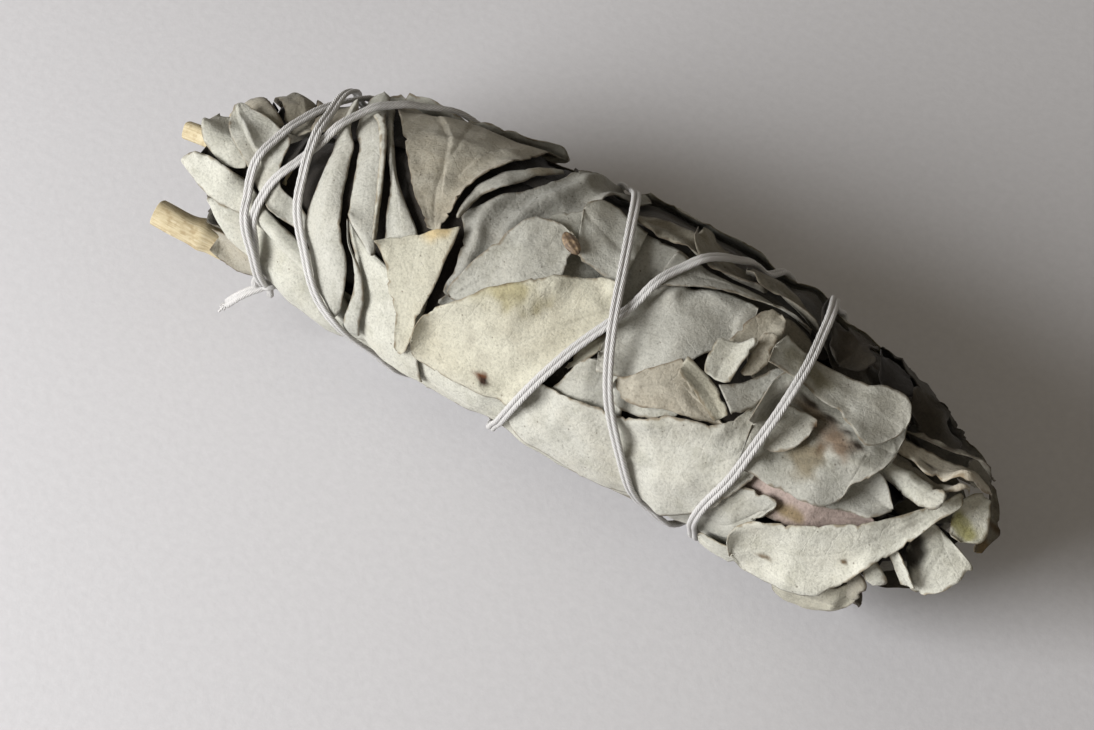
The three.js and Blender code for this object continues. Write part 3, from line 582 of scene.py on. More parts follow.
def gridObject(name, points):
    rows, cols = points.shape[0] - 1, points.shape[1] - 1
    work = bmesh.new()
    bmesh.ops.create_grid(work, x_segments=cols, y_segments=rows, size=1)
    mesh = bpy.data.meshes.new(name)
    work.to_mesh(mesh)
    work.free()
    placed = (points + np.array(frameShift)) * mm
    mesh.vertices.foreach_set("co", placed.reshape(-1))
    mesh.update()
    piece = bpy.data.objects.new(name, mesh)
    bpy.context.scene.collection.objects.link(piece)
    mesh.polygons.foreach_set("use_smooth", [True] * len(mesh.polygons))
    laidPieces.append(piece)
    return piece


def turnOutward(mesh, outward):  # outward: one direction for each vertex
    normals = np.zeros(len(mesh.vertices) * 3)
    mesh.vertices.foreach_get("normal", normals)
    if (normals.reshape(-1, 3) * outward).sum() < 0:
        mesh.flip_normals()


def mapFlat(mesh, name, flatMap):  # flatMap: mm across and along at each vertex, kept in tenths of a metre
    corners = np.zeros(len(mesh.loops), int)
    mesh.loops.foreach_get("vertex_index", corners)
    mesh.uv_layers.new(name=name).data.foreach_set("uv", (flatMap.reshape(-1, 2) / 100)[corners].reshape(-1))


def fitToFrame(piece, name):
    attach(piece, "root")
    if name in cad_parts:
        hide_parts(name)


def leafObject(name, look, points, across, along, edgeSpan, tone):
    piece = gridObject(name, points)
    mesh = piece.data
    turnOutward(mesh, fromAxis(points).reshape(-1, 3))
    mapFlat(mesh, "leafMap", np.stack([across, along], -1))
    mesh.attributes.new("leafEdge", "FLOAT", "POINT").data.foreach_set("value", edgeSpan.reshape(-1))
    toneLayer = mesh.attributes.new("leafTone", "FLOAT_COLOR", "POINT")
    toneLayer.data.foreach_set("color", np.concatenate([tone, np.ones((*tone.shape[:2], 1))], -1).reshape(-1))
    mesh.materials.append(leafMaterials[look["finish"]])
    body = piece.vertex_groups.new(name="leafBody")  # the margin is thinner than the middle of the leaf
    full = np.round(np.clip(edgeSpan.reshape(-1) / 0.9, 0, 1) * 4)
    for step in range(5):
        body.add(np.nonzero(full == step)[0].tolist(), max(step / 4, 0.001), "REPLACE")
    wall = piece.modifiers.new("wall", "SOLIDIFY")
    wall.thickness = look["thick"] * mm
    wall.offset = -1
    wall.vertex_group = "leafBody"
    wall.thickness_vertex_group = 0.35
    fitToFrame(piece, name)


# Packed middle: leaves the twine holds together, seen only through the gaps, in a nearly black finish that is
# painted shade
innerLook = {
    "finish": "innerPaintedShade", "slot": "leaf_inner", "cell": 0.9, "bridge": 0.5, "ease": 3, "liftA": 0,
    "liftB": 0}
for k in range(4):
    a, tip = 30 + 90 * k, 44 if k == 1 else 48
    layLeaf(f"leaf_inner_{k + 1}", {**innerLook, "line": [
        (-46, a, 9), (-28, a + 4, 24), (-4, a - 3, 29), (20, a + 2, 29), (37, a - 2, 23), (tip, a, 8)]})

packedEnds = {  # middle direction and how far the leaf reaches out of each opening
    "tip": ((10, 54.6), (82, 53), (150, 54.4), (215, 52.6), (290, 53.8)),
    "stem": ((40, -49.4), (112, -48), (200, -50), (285, -48.4)),
}
endLook = {**innerLook, "finish": "brownSage", "cell": 0.55, "wave": 0.6, "crease": 0.2, "ragged": 0.2}
endRows = [  # steps back from the end, degrees to either side and the radius there
    (3.4, 22, 22, 8.8, 8.8), (2, 30, 30, 8.2, 7.6), (1, 33, 33, 7.6, 6.2), (0, 16, 12, 7, 5.2)]
for end, leaves in packedEnds.items():
    stepBack = 4.5 if end == "tip" else -4.5
    for k, (a, reach) in enumerate(leaves):
        layLeaf(f"leaf_{end}_inner_{k + 1}", {**endLook, "tone": 0.55 + 0.07 * k, "edges": [
            (reach - back * stepBack, a - left, radiusA, reach - back * stepBack, a + right, radiusB)
            for back, left, right, radiusA, radiusB in endRows]})

hearts = {  # leaves rolled up along the middle of the bundle
    "leaf_heart_1": dict(turnStart=20, stemEnd=-46, tipEnd=52),
    "leaf_heart_2": dict(turnStart=200, stemEnd=-43, tipEnd=54),
}
scroll = {"cells": 90, "wide": 30, "long": 98, "inner": 1.4, "turned": 330, "twist": 32, "endSpan": 90}


def layHeart(name, turnStart, stemEnd, tipEnd):
    cells, wide, inner = scroll["cells"], scroll["wide"], scroll["inner"]
    t, turn = np.meshgrid(np.linspace(0, 1, cells), np.linspace(0, 1, cells), indexing="ij")
    x = stemEnd + (tipEnd - stemEnd) * t
    room = bodyAt(x) - bundle["packDepth"] - 4
    angle = turnStart + turn * scroll["turned"] + t * scroll["twist"]
    radius = np.minimum(inner + (room - inner) * turn * 0.95, underLimit(angle, axisAt(x)[1] - 6))
    radius = radius + 0.5 * roughField(x / 5, turn * 8, turnStart) - 0.4
    points = place(x + 1.5 * np.sin(turn * 5 + t * 8), angle, radius)
    edgeSpan = np.minimum(np.minimum(turn, 1 - turn) * wide, np.minimum(t, 1 - t) * scroll["endSpan"])
    tone = np.ones((cells, cells, 3)) * 0.9
    leafObject(name, {**plainLeaf, **innerLook}, points, turn * wide, t * scroll["long"], edgeSpan, tone)


for name, heart in hearts.items():
    layHeart(name, **heart)
print("stage: middle packed")

# Stems: pale woody stalks with ridged bark and a cut face
stemBark, tree, shader, flat, spot = newMaterial("driedStemBark")  # dry stalk: fibrous, tan, faintly ridged
streak = addNode(tree, "Mapping", {"Vector": flat, "Scale": (220, 25, 1)})
fibre = addNode(tree, "TexNoise", {"Vector": streak, "Scale": 1.6, "Detail": 5.0, "Roughness": 0.65})
barkTone = addNode(tree, "ValToRGB", {"Fac": fibre}, [(0.3, "#A69576"), (0.5, "#C2B493"), (0.72, "#D1C7AC")])
speck = addNode(tree, "TexNoise", {"Vector": spot, "Scale": 1.1, "Detail": 4.0})
speckShare = addNode(tree, "MapRange", {"Value": speck, "From Min": 0.52, "From Max": 0.68, "To Max": 0.55})
bark = addNode(tree, "Mix", {0: speckShare, 6: barkTone, 7: "#9A8460"}, data_type="RGBA")
barkBump = addNode(tree, "Bump", {"Height": fibre, "Strength": 0.6, "Distance": 0.0002})
setInputs(tree, shader, {
    "Base Color": bark.outputs[2], "Normal": barkBump, "Roughness": 0.8, "Specular IOR Level": 0.3})


def tubeObject(name, rings, flatMap, material):
    piece = gridObject(name, np.concatenate([rings, rings[:, :1]], 1))
    mesh = piece.data
    mapFlat(mesh, "lengthMap", flatMap)
    work = bmesh.new()
    work.from_mesh(mesh)
    bmesh.ops.remove_doubles(work, verts=work.verts, dist=1e-7)
    rim = [edge for edge in work.edges if edge.is_boundary]
    bmesh.ops.holes_fill(work, edges=rim, sides=len(rings[0]) + 2)
    bmesh.ops.recalc_face_normals(work, faces=work.faces)
    for face in work.faces:
        face.smooth = len(face.verts) == 4
    work.to_mesh(mesh)
    work.free()
    mesh.materials.append(material)
    fitToFrame(piece, name)


def ringOffsets(turn, wide, deep):  # sideways and outward distance of each corner of a ring
    return np.stack([np.cos(turn) * wide, np.sin(turn) * deep], -1)


def ringMap(around, along):  # the flat map of a tube, from its corners round and its rings along
    return np.stack(np.broadcast_arrays(around[None, :], along), -1)


def ringsAlong(path, outward, offsets):
    ahead = np.gradient(path, axis=0)
    ahead /= np.linalg.norm(ahead, axis=1, keepdims=True)
    flat = np.cross(outward, ahead)
    flat /= np.linalg.norm(flat, axis=1, keepdims=True)
    up = np.cross(ahead, flat)
    return path[:, None, :] + flat[:, None, :] * offsets[..., 0:1] + up[:, None, :] * offsets[..., 1:2]


def radialOf(path):
    out = fromAxis(path)
    return out / np.linalg.norm(out, axis=1, keepdims=True)


def laidPath(route, steps, half, reach, ease):  # drawn tight over what is laid, then smoothed
    spots = curveThrough([(p + (0,))[:3] for p in route], np.linspace(0, 1, steps + 1))
    least = sample(widen(cover, 0.5), spots[:, 0], spots[:, 1])
    base = np.maximum(least, sample(bridged(reach), spots[:, 0], spots[:, 1]))
    smoothing = 50
    for k in range(ease + smoothing):
        pad = np.pad(base, 1, mode="edge")
        base = (pad[:-2] + pad[2:]) / 2
        if k < ease:
            base = np.maximum(least, base)
    return place(spots[:, 0], spots[:, 1], sample(core, spots[:, 0], spots[:, 1]) + base + half + spots[:, 2])


def lengthsOf(path):
    return np.concatenate([[0], np.cumsum(np.linalg.norm(np.diff(path, axis=0), axis=1))])


stems = {  # route as along, angle, rise, or points in mm; thickness in mm
    "stem_top": dict(route=[(-53, 10, 0.9), (-50, 12, 0.2), (-46, 18, -1), (-36, 24, -1.2)], thick=2.4),
    "stem_under": dict(route=[(-55, 236, 1.5), (-48, 232, 0.5), (-40, 228, 0), (-30, 226, 0)], thick=2.6),
    "stem_far": dict(route=[(-53, -92, 1), (-46, -88, 0.3), (-38, -84, 0), (-30, -84, 0)], thick=2.2),
    "stem_main": dict(points=[
        (-53.1, -12, 14.6), (-49.4, -11.8, 14), (-46.1, -11.1, 13.1), (-42.5, -10.4, 12), (-37, -9, 11.4)],
        thick=3.6),
}


def layStem(name):
    look = stems[name]
    half, sides, seed = look["thick"] / 2, 28, len(name) * 3
    if "route" in look:
        path = laidPath(look["route"], steps=90, half=half, reach=1.5, ease=20)
    else:
        path = curveThrough(look["points"], np.linspace(0, 1, 91))
    turn = np.linspace(0, 2 * np.pi, sides, endpoint=False)[None, :]
    along = lengthsOf(path)
    rough = roughField(along[:, None] / 2.5, turn * 1.6, seed) - 0.5
    ribs = 1 + 0.05 * np.cos(turn * 4 + 0.5) + 0.08 * rough
    ribs = ribs * (1 + 0.16 * np.exp(-((along[:, None] - 6.5) / 1.1) ** 2))  # the joint where leaves grew
    radius = half * ribs
    rings = ringsAlong(path, radialOf(path), ringOffsets(turn, radius, radius))
    # the cut face: three rings inward from the first, each set a little proud
    face = np.stack([path[0] + (rings[0] - path[0]) * share - (path[1] - path[0]) * proud
                     for share, proud in ((0.35, 0.2), (0.8, 0.5), (0.97, 0.3))])
    rings = np.concatenate([face, rings])
    rings[..., 2] = np.maximum(rings[..., 2], 0.1)
    markCover(finerGrid(np.concatenate([rings, rings[:, :1]], 1), 2))
    reach = np.concatenate([[0, 0.4, 0.8], along + 1])
    flatMap = ringMap(np.linspace(0, math.pi * look["thick"], sides + 1), reach[:, None])
    tubeObject(name, rings, flatMap, stemBark)


for name in ("stem_top", "stem_under", "stem_far"):
    layStem(name)

# Second layer, far side and underneath
layerLook = {"bridge": 0.6, "ease": 6}
layLeaves(layerLook, {
    # the dark-finished leaves here carry painted shade for the far side
    "leaf_far_low": dict(finish="darkSageWithPaintedShade", line=[
        (-46, -152, 4), (-30, -146, 15), (0, -150, 19), (30, -145, 17), (50, -150, 5)]),
    "leaf_far_mid": dict(finish="brownSage", line=[
        (-49, -108, 4), (-25, -104, 17), (5, -98, 21), (35, -102, 18), (54, -98, 6)]),
    "leaf_near_low": dict(finish="brownSage", line=[
        (-45, 122, 4), (-20, 126, 17), (10, 126, 20), (35, 122, 17), (48, 122, 6)]),
    "leaf_under_long": dict(finish="greySage", line=[
        (-47, 172, 4), (-20, 174, 17), (10, 177, 20), (36, 172, 16), (50, 172, 5)]),
})
layStem("stem_main")

# Leaf bases at the stem end
baseLook = {
    "wave": 0.2, "crease": 0.05, "swell": 0.4, "midrib": 0.0, "liftA": 0.05, "liftB": 0.05, "ragged": 0.03,
    "nick": 0.1, "roundStart": 0.5, "roundEnd": 0.8}
layLeaves({}, {
    "leaf_near_long": dict(finish="creamSage", swell=0.3, line=[
        (-38, 102, 4), (-26, 100, 12), (-12, 96, 14), (2, 96, 12), (12, 98, 4)]),
    "leaf_near_pale": dict(finish="creamSage", swell=0.2, edges=[
        (-17, 80, -17, 104), (-8, 75, -8, 108), (4, 75, 4, 110), (16, 74, 16, 110), (26, 72, 28, 108),
        (35, 74, 36, 104)]),
})
layLeaves(baseLook, {
    # a nearly black leaf in the hollow under the stem-end leaves: painted shade
    "leaf_base_shade": dict(finish="innerPaintedShade", swell=0, rise=[-0.6, -0.6, -0.4], edges=[
        (-49, 16, -49, 44), (-46, 12, -46, 46), (-43, 8, -43, 50), (-40, 0, -40, 54), (-36, -6, -36, 56)]),
    "leaf_base_top_1": dict(finish="brownSage", tornA=0.3, tornStart=0.6, folds=[dict(line=[(-46, -58),
        (-42, -36), (-38, -12)], high=0.4, reach=1.5)], edges=[
        (-47.6, -60, -45, -76), (-45.6, -44, -42.4, -60), (-43.6, -30, -40, -42), (-41, -14, -37.6, -26),
        (-38, -2, -35, -12)]),
    "leaf_base_top_2": dict(finish="tanSage", edges=[
        (-43.6, -84, -41, -92), (-41.6, -56, -37.8, -66), (-39.6, -36, -35.6, -46), (-37.6, -18, -34, -28),
        (-36.4, -4, -33, -12)]),
    "leaf_base_top_3": dict(finish="creamSage", swell=0.3, tornStart=0.4, rise=[0.9, 1, 0.9, 0.6, 0.4],
        edges=[
        (-51.2, -8, -49.2, -17), (-50.8, 4, -47, -8), (-50, 13, -45, 2), (-48.8, 21, -43.6, 12),
        (-46.8, 28, -42.4, 22), (-44.6, 33, -41.6, 30)]),
    "leaf_base_top_4": dict(finish="tanSage", tornStart=0.5, rise=[0.7, 0.4, 0], edges=[
        (-49.2, -34, -47.8, -46), (-47.2, -22, -45.6, -32), (-45, -12, -43.2, -20),
        (-42.4, -2, -40.6, -10)]),
    "leaf_base_low": dict(finish="tanSage", swell=0.3, edges=[
        (-44.6, 84, -43, 104), (-41.4, 82, -40.2, 110), (-36, 84, -35, 113), (-31, 88, -30, 111),
        (-25, 92, -24, 108)]),
    "leaf_base_3": dict(finish="creamSage", swell=0.5, roundStart=0.2, edges=[
        (-45.6, 58.4, -45, 62), (-44.4, 57.6, -43.4, 73), (-42.4, 58.2, -41.2, 82), (-39.4, 60, -38.2, 89),
        (-36.4, 62.4, -34.8, 96), (-33, 65.4, -31.4, 102), (-29.6, 69.6, -28, 106), (-25, 77, -23, 107),
        (-19, 88, -17, 107)]),
    "leaf_base_2": dict(finish="creamSage", swell=0.9, roundStart=0.3, rise=[0.7, 0.4, 0.1, 0, 0, 0],
        edges=[
        (-51.9, 36, -51.9, 47), (-51.3, 31.6, -50.4, 52.6), (-49.4, 29.4, -47, 54.6),
        (-46.4, 30.2, -43.8, 56.4), (-43, 34, -41, 58), (-40, 39.8, -38, 60), (-36.2, 47.4, -35, 62.6),
        (-32.6, 54, -32, 66.4), (-29, 60.6, -29.4, 71), (-25, 69, -26.4, 79), (-21.5, 81, -23, 91)]),
    "leaf_base_1": dict(wave=0.3, swell=0.2, cell=0.28, roundStart=0.2, rise=[1.3, 0.8, 0.4, 0.1, 0, 0, 0,
        0], folds=[dict(line=[(-48, -12), (-46, -1), (-43.8, 8), (-41.4, 17), (-39, 26)], high=1,
        reach=1.6)], edges=[
        (-48.2, -13, -47.4, -14), (-47.9, -6, -45.2, -10), (-47.3, 1, -42.6, -6.6), (-46.4, 8, -40.4, -3),
        (-45, 15, -38.4, 2), (-43, 22, -37.6, 9), (-41.2, 29, -37.4, 16), (-39.6, 35.6, -37, 23),
        (-38, 40.6, -36.4, 28), (-36.4, 44.6, -35.4, 33), (-34, 48.4, -33.2, 37), (-31.5, 51.6, -31, 41.6),
        (-29.8, 55, -29.6, 48)]),
    "leaf_base_middle": dict(finish="creamSage", edges=[
        (-25.3, 33, -24.8, 34.2), (-24.5, 38.4, -21.5, 41.4), (-23.5, 44, -17, 46), (-22.4, 50, -12, 48),
        (-21.7, 58, -11.6, 60), (-21.4, 68, -11.5, 70), (-21.6, 80, -10.6, 82), (-20.5, 94, -10, 95)]),
    "leaf_base_below": dict(edges=[(-25.1, 33.4, -24.7, 33.6), (-24, 41, -23.4, 43.6),
        (-22.6, 49, -21.5, 50.5), (-21.7, 57, -20.3, 57), (-21.4, 66, -19.5, 66), (-21.7, 77, -19.4, 77),
        (-22.2, 88, -19.6, 88)]),

    "leaf_base_6": dict(swell=0.6, edges=[
        (-31.4, -40, -30, -42), (-29.2, -26, -28.2, -27), (-27.3, -14, -26.3, -14), (-25.4, -3, -24.4, -4),
        (-23.9, 4, -22.3, 6.5), (-22.6, 10.6, -20.5, 13), (-21.7, 17.5, -18.7, 18.6),
        (-20.9, 25, -16.5, 25), (-20, 32, -15.4, 30), (-19.4, 38, -14.8, 36)]),
    "leaf_base_5": dict(swell=0.6, edges=[
        (-33.5, -42, -31.4, -44), (-32.6, -26, -29.4, -27), (-31.2, -13, -27.3, -13),
        (-29.4, -4, -25.7, -4), (-28.5, 3, -24.7, 4), (-27.6, 10, -23.6, 10), (-26.7, 18, -22.6, 17),
        (-25.8, 26, -21.7, 25), (-24.6, 32.6, -20.8, 32), (-22.6, 38.4, -20.2, 38),
        (-20.3, 43.6, -19.7, 42.6)]),
    "leaf_base_fold": dict(finish="creamSage", swell=0.25, edges=[
        (-30.8, -24, -29.9, -25), (-27.6, -9, -26.6, -10), (-25.4, 2, -24.6, 1.6), (-23.8, 13, -23, 12.6),
        (-22.1, 25, -21.5, 25), (-20.5, 36.6, -20.1, 36.4)]),
    "leaf_base_4": dict(swell=0.8, edges=[
        (-35, -34, -33.4, -30), (-34, -20, -32.4, -16), (-33.2, -8, -30.9, -7), (-32.4, 2, -29.5, 0),
        (-31.9, 10, -28.7, 8), (-31.5, 19, -27.9, 16), (-31.3, 28, -27.1, 25), (-31.1, 38, -25.9, 34),
        (-30.4, 49, -24.7, 43), (-28.8, 59, -23.4, 51), (-27, 68.5, -22.6, 60), (-25.1, 77, -22.4, 69),
        (-23.6, 85, -22.5, 78)]),
})
print("stage: stem end laid")

# Near side and top, from the stem end to the tip
looseLook = {"wave": 0.3}
layLeaves(looseLook, {
    # the dark-finished far leaves carry painted shade in their finish
    "leaf_far_top": dict(finish="darkSageWithPaintedShade", wave=0.7, tornA=0.5, line=[
        (-6, -52, 6), (6, -44, 17), (18, -40, 21), (28, -38, 18), (37, -40, 7)]),
    "leaf_far_shade": dict(finish="darkSageWithPaintedShade", wave=0.5, nick=0.7, tornA=0.5, edges=[
        (14, -46, 13, -8), (19, -44, 18, -6), (24, -40, 22, -6), (29, -36, 27, -8), (34, -30, 33, -8)]),
    "leaf_furrowed": dict(finish="greySage", tone=0.79, wave=0.5, waveSize=5, furrow=0.8, furrowSize=3.2,
        midrib=0, roundStart=0.6, roundEnd=1, edges=[
        (-9.9, 50, -2, 46), (-9.9, 40, -0.6, 38), (-9.9, 32, 1, 28), (-10.6, 20, 2.4, 18),
        (-12.1, 11, 3, 8), (-9.7, 0, 1.6, 0), (-7, -10, 0.6, -8), (-5.3, -20, 1.2, -18),
        (-4.3, -30, 1.8, -28), (-3.6, -44, 3, -44), (-3.4, -62, 4, -62)]),
    "leaf_rolled_edge": dict(finish="greySage", wave=0.2, swell=0.5, midrib=0, tornA=0.1, tornB=0.3,
        roundStart=0.8, roundEnd=0.8, stainsAndShade=[(-8, -24, 2.4, 8, "#8E8678")], edges=[
        (-12.6, 15, -11.7, 15), (-12.8, 7, -11.4, 6), (-12.6, 0, -10.8, 1), (-11.6, -7, -9.5, -3),
        (-10.7, -14, -8.4, -11), (-9.4, -18, -7.2, -17), (-7.8, -24, -5.9, -24), (-6.6, -30, -4.8, -30)]),
    "leaf_over_top": dict(finish="tanSage", wave=0.45, waveSize=4.5, crease=0.05, liftB=0.3, tornB=0.12,
        tornEnd=0.3, roundEnd=0, folds=[dict(line=[(-24.6, -40), (-20, -22), (-17.4, -4), (-15.4, 10)],
        high=0.3, reach=3), dict(line=[(-12.4, -30), (-14.6, -16), (-15.4, -2)], high=0.2, reach=2)],
        edges=[
        (-37, -88, -22, -92), (-32.6, -64, -10.6, -66), (-30.6, -46, -9.9, -46), (-28, -29, -9.8, -28),
        (-25.4, -16, -10.4, -17), (-22.9, -4.5, -12.3, -5), (-20.8, 4.5, -13.2, 3), (-18.9, 12, -13.3, 11),
        (-16.6, 18.5, -13.5, 17.5), (-14.9, 23.5, -13, 22)]),
    "leaf_under_bud": dict(midrib=0, edges=[
        (-3.6, -3, -2, 30), (-0.8, -8, 0.6, 26), (1.6, -14, 3.2, 22), (4.4, -17, 6, 18),
        (8, -16, 9.6, 14)]),
    "leaf_by_bud": dict(wave=0.4, midrib=0.05, liftB=0.3, tornA=0.1, tornB=0.15, roundStart=0.4,
        roundEnd=0.3, edges=[
        (-9.4, 43, -7.6, 44), (-8.6, 34, -4.8, 37), (-7, 22, -2, 30), (-5.6, 10, 0.6, 24),
        (-4.2, 3.6, 2.6, 19), (-3, 1.2, 2.5, 11), (-1, -0.2, 2.3, 6), (0.8, 0, 1.8, 2)]),
    "leaf_top_flat": dict(finish="greySage", wave=0.4, roundStart=0.4, roundEnd=0.6, edges=[
        (5, -15.5, 6, 15), (8, -15.5, 8.4, 20), (10.6, -15.5, 10.4, 18), (13, -15, 12.8, 10),
        (16, -14, 15, 3)]),
    "leaf_top_small": dict(wave=0.4, swell=0.3, liftA=0.3, roundStart=0.8, roundEnd=0.2, edges=[
        (0.2, -12, 0.9, -7), (1.6, -17.5, 2.2, 3), (3.4, -19.5, 3.4, 8.6), (5.2, -17.5, 5.4, 9.4),
        (7, -15.5, 7.6, 10.6), (8.6, -14.6, 9.4, 12)]),
    "leaf_triangle": dict(finish="oliveSage", wave=0.25, midrib=0.0, liftA=0.1, tornA=0.12, tornStart=0.12,
        roundStart=0, roundEnd=0.6, stainsAndShade=[(-14, 22, 2.8, 5, "#B3A58C")], edges=[
        (-19.9, 36, -11, 17.6), (-18.9, 40, -10.9, 28), (-17.6, 45, -11, 39), (-16.7, 52, -11.3, 49),
        (-16, 56, -11.6, 58), (-14.9, 62, -11.9, 67), (-14.2, 69, -12.1, 74), (-13.9, 77, -12.8, 78)]),
    "leaf_olive_strip": dict(finish="oliveSage", wave=0.1, midrib=0, liftA=0.3, edges=[
        (10.6, 27, 11.2, 27), (9.6, 31, 10.9, 31), (8.7, 36, 10.2, 37), (8, 42, 9.2, 43),
        (7.2, 49, 7.8, 49)]),
    "leaf_grey_below": dict(midrib=0, roundStart=0.6, roundEnd=0.5, edges=[
        (9.6, 40, 14.6, 38), (8.9, 44, 15, 43), (8.2, 49, 15.2, 48), (7.4, 55, 15.4, 54),
        (6, 62, 15.6, 60)]),
    # a nearly black filler under the broken pieces: painted shade
    "leaf_middle_filler": dict(finish="innerPaintedShade", midrib=0, gap=0.0, edges=[
        (18, 24, 18, 46), (21, 8, 21, 45), (25, -8, 25.4, 44), (28.4, -14, 28.8, 40), (32, -12, 32, 34)]),
    "leaf_middle_back": dict(finish="brownSage", tone=0.9, wave=0.5, midrib=0, edges=[
        (25, -12, 25.4, 14), (27, -13, 27.6, 17), (30, -13, 30.4, 16), (33, -12, 33, 12)]),
    "leaf_grey_smooth": dict(finish="greySage", tone=1.15, crease=0.05, midrib=0.0, tornB=0.2,
        roundStart=0.3, roundEnd=0.3, edges=[
        (10.2, 29, 11, 44), (10.8, 17, 13, 43), (11.8, 8, 15, 41), (13, 3, 17, 37), (14.6, 0.6, 18.6, 32.8),
        (16, -2, 20, 28.6), (17.8, -5, 20.8, 23.6), (19.6, -8, 21.6, 18.4), (21.3, -10, 23, 12.4),
        (22.6, -11, 23.4, 7), (24.2, -11, 24.4, 0)]),
    "leaf_pinkish": dict(finish="pinkSage", stainsAndShade=[(37.6, 61, 2.4, 5, "#8F8B72")], edges=[
        (29, 50, 29, 64), (34, 51, 34, 68), (38, 50, 38, 68), (42, 49, 42, 62), (47, 44, 46.5, 54)]),
    "leaf_near_lobe": dict(wave=0.35, roundStart=1, roundEnd=0.6, edges=[
        (22, 72, 24, 108), (26, 67.5, 28, 110), (29.5, 62.8, 32, 108), (32.8, 58.6, 33.4, 92),
        (35.9, 56.2, 34, 74.5), (36.4, 60, 35.2, 67.5)]),
    "leaf_low_tip_1": dict(finish="creamSage", wave=0.6, tornB=0.5, rise=[0, 0, 0.1, 0.2, 0], edges=[
        (28, 92, 28, 116), (33, 90, 33, 119), (38, 87, 38.4, 120), (42, 84, 43, 118), (45, 80, 46, 106)]),
    "leaf_low_tip_2": dict(finish="oliveSage", wave=0.7, tornB=0.6, tornEnd=0.5, rise=[0.3, 0.4, 0.5, 0.3],
        edges=[
        (38, 92, 38, 122), (41, 92, 41.4, 125), (43.6, 92, 44.2, 122), (46, 90, 46.6, 113),
        (47.8, 84, 48.2, 100)]),
    "leaf_low_curl": dict(finish="creamSage", swell=0.5, tornB=0.3, roundStart=0.3, roundEnd=0.3, edges=[
        (47.4, 68, 11.4, 48.6, 65, 11.8), (47.6, 73, 11.8, 50, 70, 12), (48, 77, 12, 50.8, 75, 11.8),
        (48.6, 80, 11.9, 50.4, 79, 11.6)]),
    # a nearly black leaf in the hollow at the tip: painted shade
    "leaf_low_hollow": dict(finish="innerPaintedShade", wave=0.2, tornB=0.3, roundStart=0.3, roundEnd=1, edges=[
        (46, 44, 11, 54, 36, 9), (46, 56, 11, 54.2, 46, 9), (46.2, 68, 10.9, 53.4, 57, 9),
        (46.6, 79, 10.8, 51.6, 68, 9.2)]),
    "leaf_low_roll": dict(finish="tanSage", swell=0.5, tornB=0.3, roundStart=0.4, roundEnd=0.4, edges=[
        (45.8, 80, 11.8, 47.6, 78, 11.8), (46, 87, 12, 48.8, 84, 12), (46, 95, 12, 48.6, 92, 12),
        (45.4, 101, 11.8, 47, 100, 11.8)]),
    "leaf_white_tip": dict(finish="creamSage", tone=1.2, wave=0.45, waveSize=8, crease=0.05, midrib=0.0,
        liftA=0.5, liftB=0.3, roundStart=0.8, roundEnd=0.6, rise=[0.1, 0.3, 0.5, 0.8, 1.2, 1.9, 2.6, 3.0],
        stainsAndShade=[(45.6, 71, 0.5, 1.6, "#5C4E3E"), (36.8, 87, 0.9, 1.2, "#6A5E50")], edges=[
        (32.4, 80, 34.2, 102), (34.2, 69.5, 38.4, 99), (38, 63.6, 42.8, 94), (42, 56.2, 46, 84),
        (46, 47.6, 48, 69), (49.4, 35.6, 50.6, 54), (52.3, 21, 53, 31), (54.1, 9.6, 54.8, 14)]),
    "leaf_fold_under": dict(wave=0.25, tornB=0.1, roundStart=0.5, roundEnd=0.5, edges=[
        (13.6, 42.6, 13.8, 51.6), (15.4, 44, 15.6, 54), (17.4, 44, 17.6, 53), (19.6, 42, 19.9, 49.4),
        (22, 38, 22.2, 45)]),
    "leaf_middle_grey": dict(finish="tanSage", tone=0.85, wave=0.4, midrib=0, tornB=0.2, roundStart=0.2,
        edges=[
        (27.9, -1.6, 28, 9), (29.4, -3, 29.4, 12), (31, -2, 30.8, 9), (32.4, 0, 32.2, 6)]),
    "leaf_broken_fold": dict(finish="warmSage", wave=0.4, crease=0.3, creaseSize=2.4, liftA=0.2, liftB=0.1,
        tornA=0.15, roundStart=0.4, roundEnd=0.2, edges=[
        (14, 41.4, 14.2, 44), (15.4, 38.4, 15.6, 47.6), (17.2, 33, 17.8, 47.4), (18.8, 28.4, 20.2, 45),
        (20, 25, 22.6, 43.4), (21, 29.6, 24.6, 42.4), (22.6, 33.6, 26.4, 41.2), (24.8, 38, 27.4, 39.6)]),
    "leaf_pale_broad": dict(tone=1.12, wave=0.35, liftA=0.2, tornEnd=0.2, roundStart=1.0, roundEnd=0.6,
        edges=[
        (5, 60, 1.4, 80), (7.4, 59, 4, 90), (10.4, 57.6, 9, 94), (13.6, 56.6, 13.4, 96), (16, 55, 17.4, 96),
        (18.6, 51.6, 21.4, 94), (21, 46, 25, 90), (23.6, 43.4, 28, 82), (26.4, 41, 30, 72),
        (28.2, 36, 31.4, 62), (29, 28, 32.4, 56), (29.6, 20, 33.4, 50)]),
    "leaf_central": dict(finish="oliveSage", tone=1.1, crease=0.06, midrib=0.08, liftA=0.2, liftB=0.12,
        ragged=0.12, tornA=0.1, roundStart=1.0, roundEnd=0.8, stainsAndShade=[(-2.3, 69, 1.1, 1.8, "#5C3A26"),
        (-1.4, 70.5, 0.7, 1.4, "#33231A"), (-3, 30, 5, 9, "#9A9684")], edges=[
        (-11.5, 60, -11.5, 75), (-10.1, 50, -8, 77.5), (-7.4, 42.6, -4, 76.5), (-4.8, 34.6, -0.4, 76.2),
        (-1.2, 26.4, 2.6, 74), (1.8, 19.8, 4.4, 64), (4.8, 15, 6.6, 51), (7.6, 11, 8.4, 38),
        (9.6, 12, 10.2, 27)]),
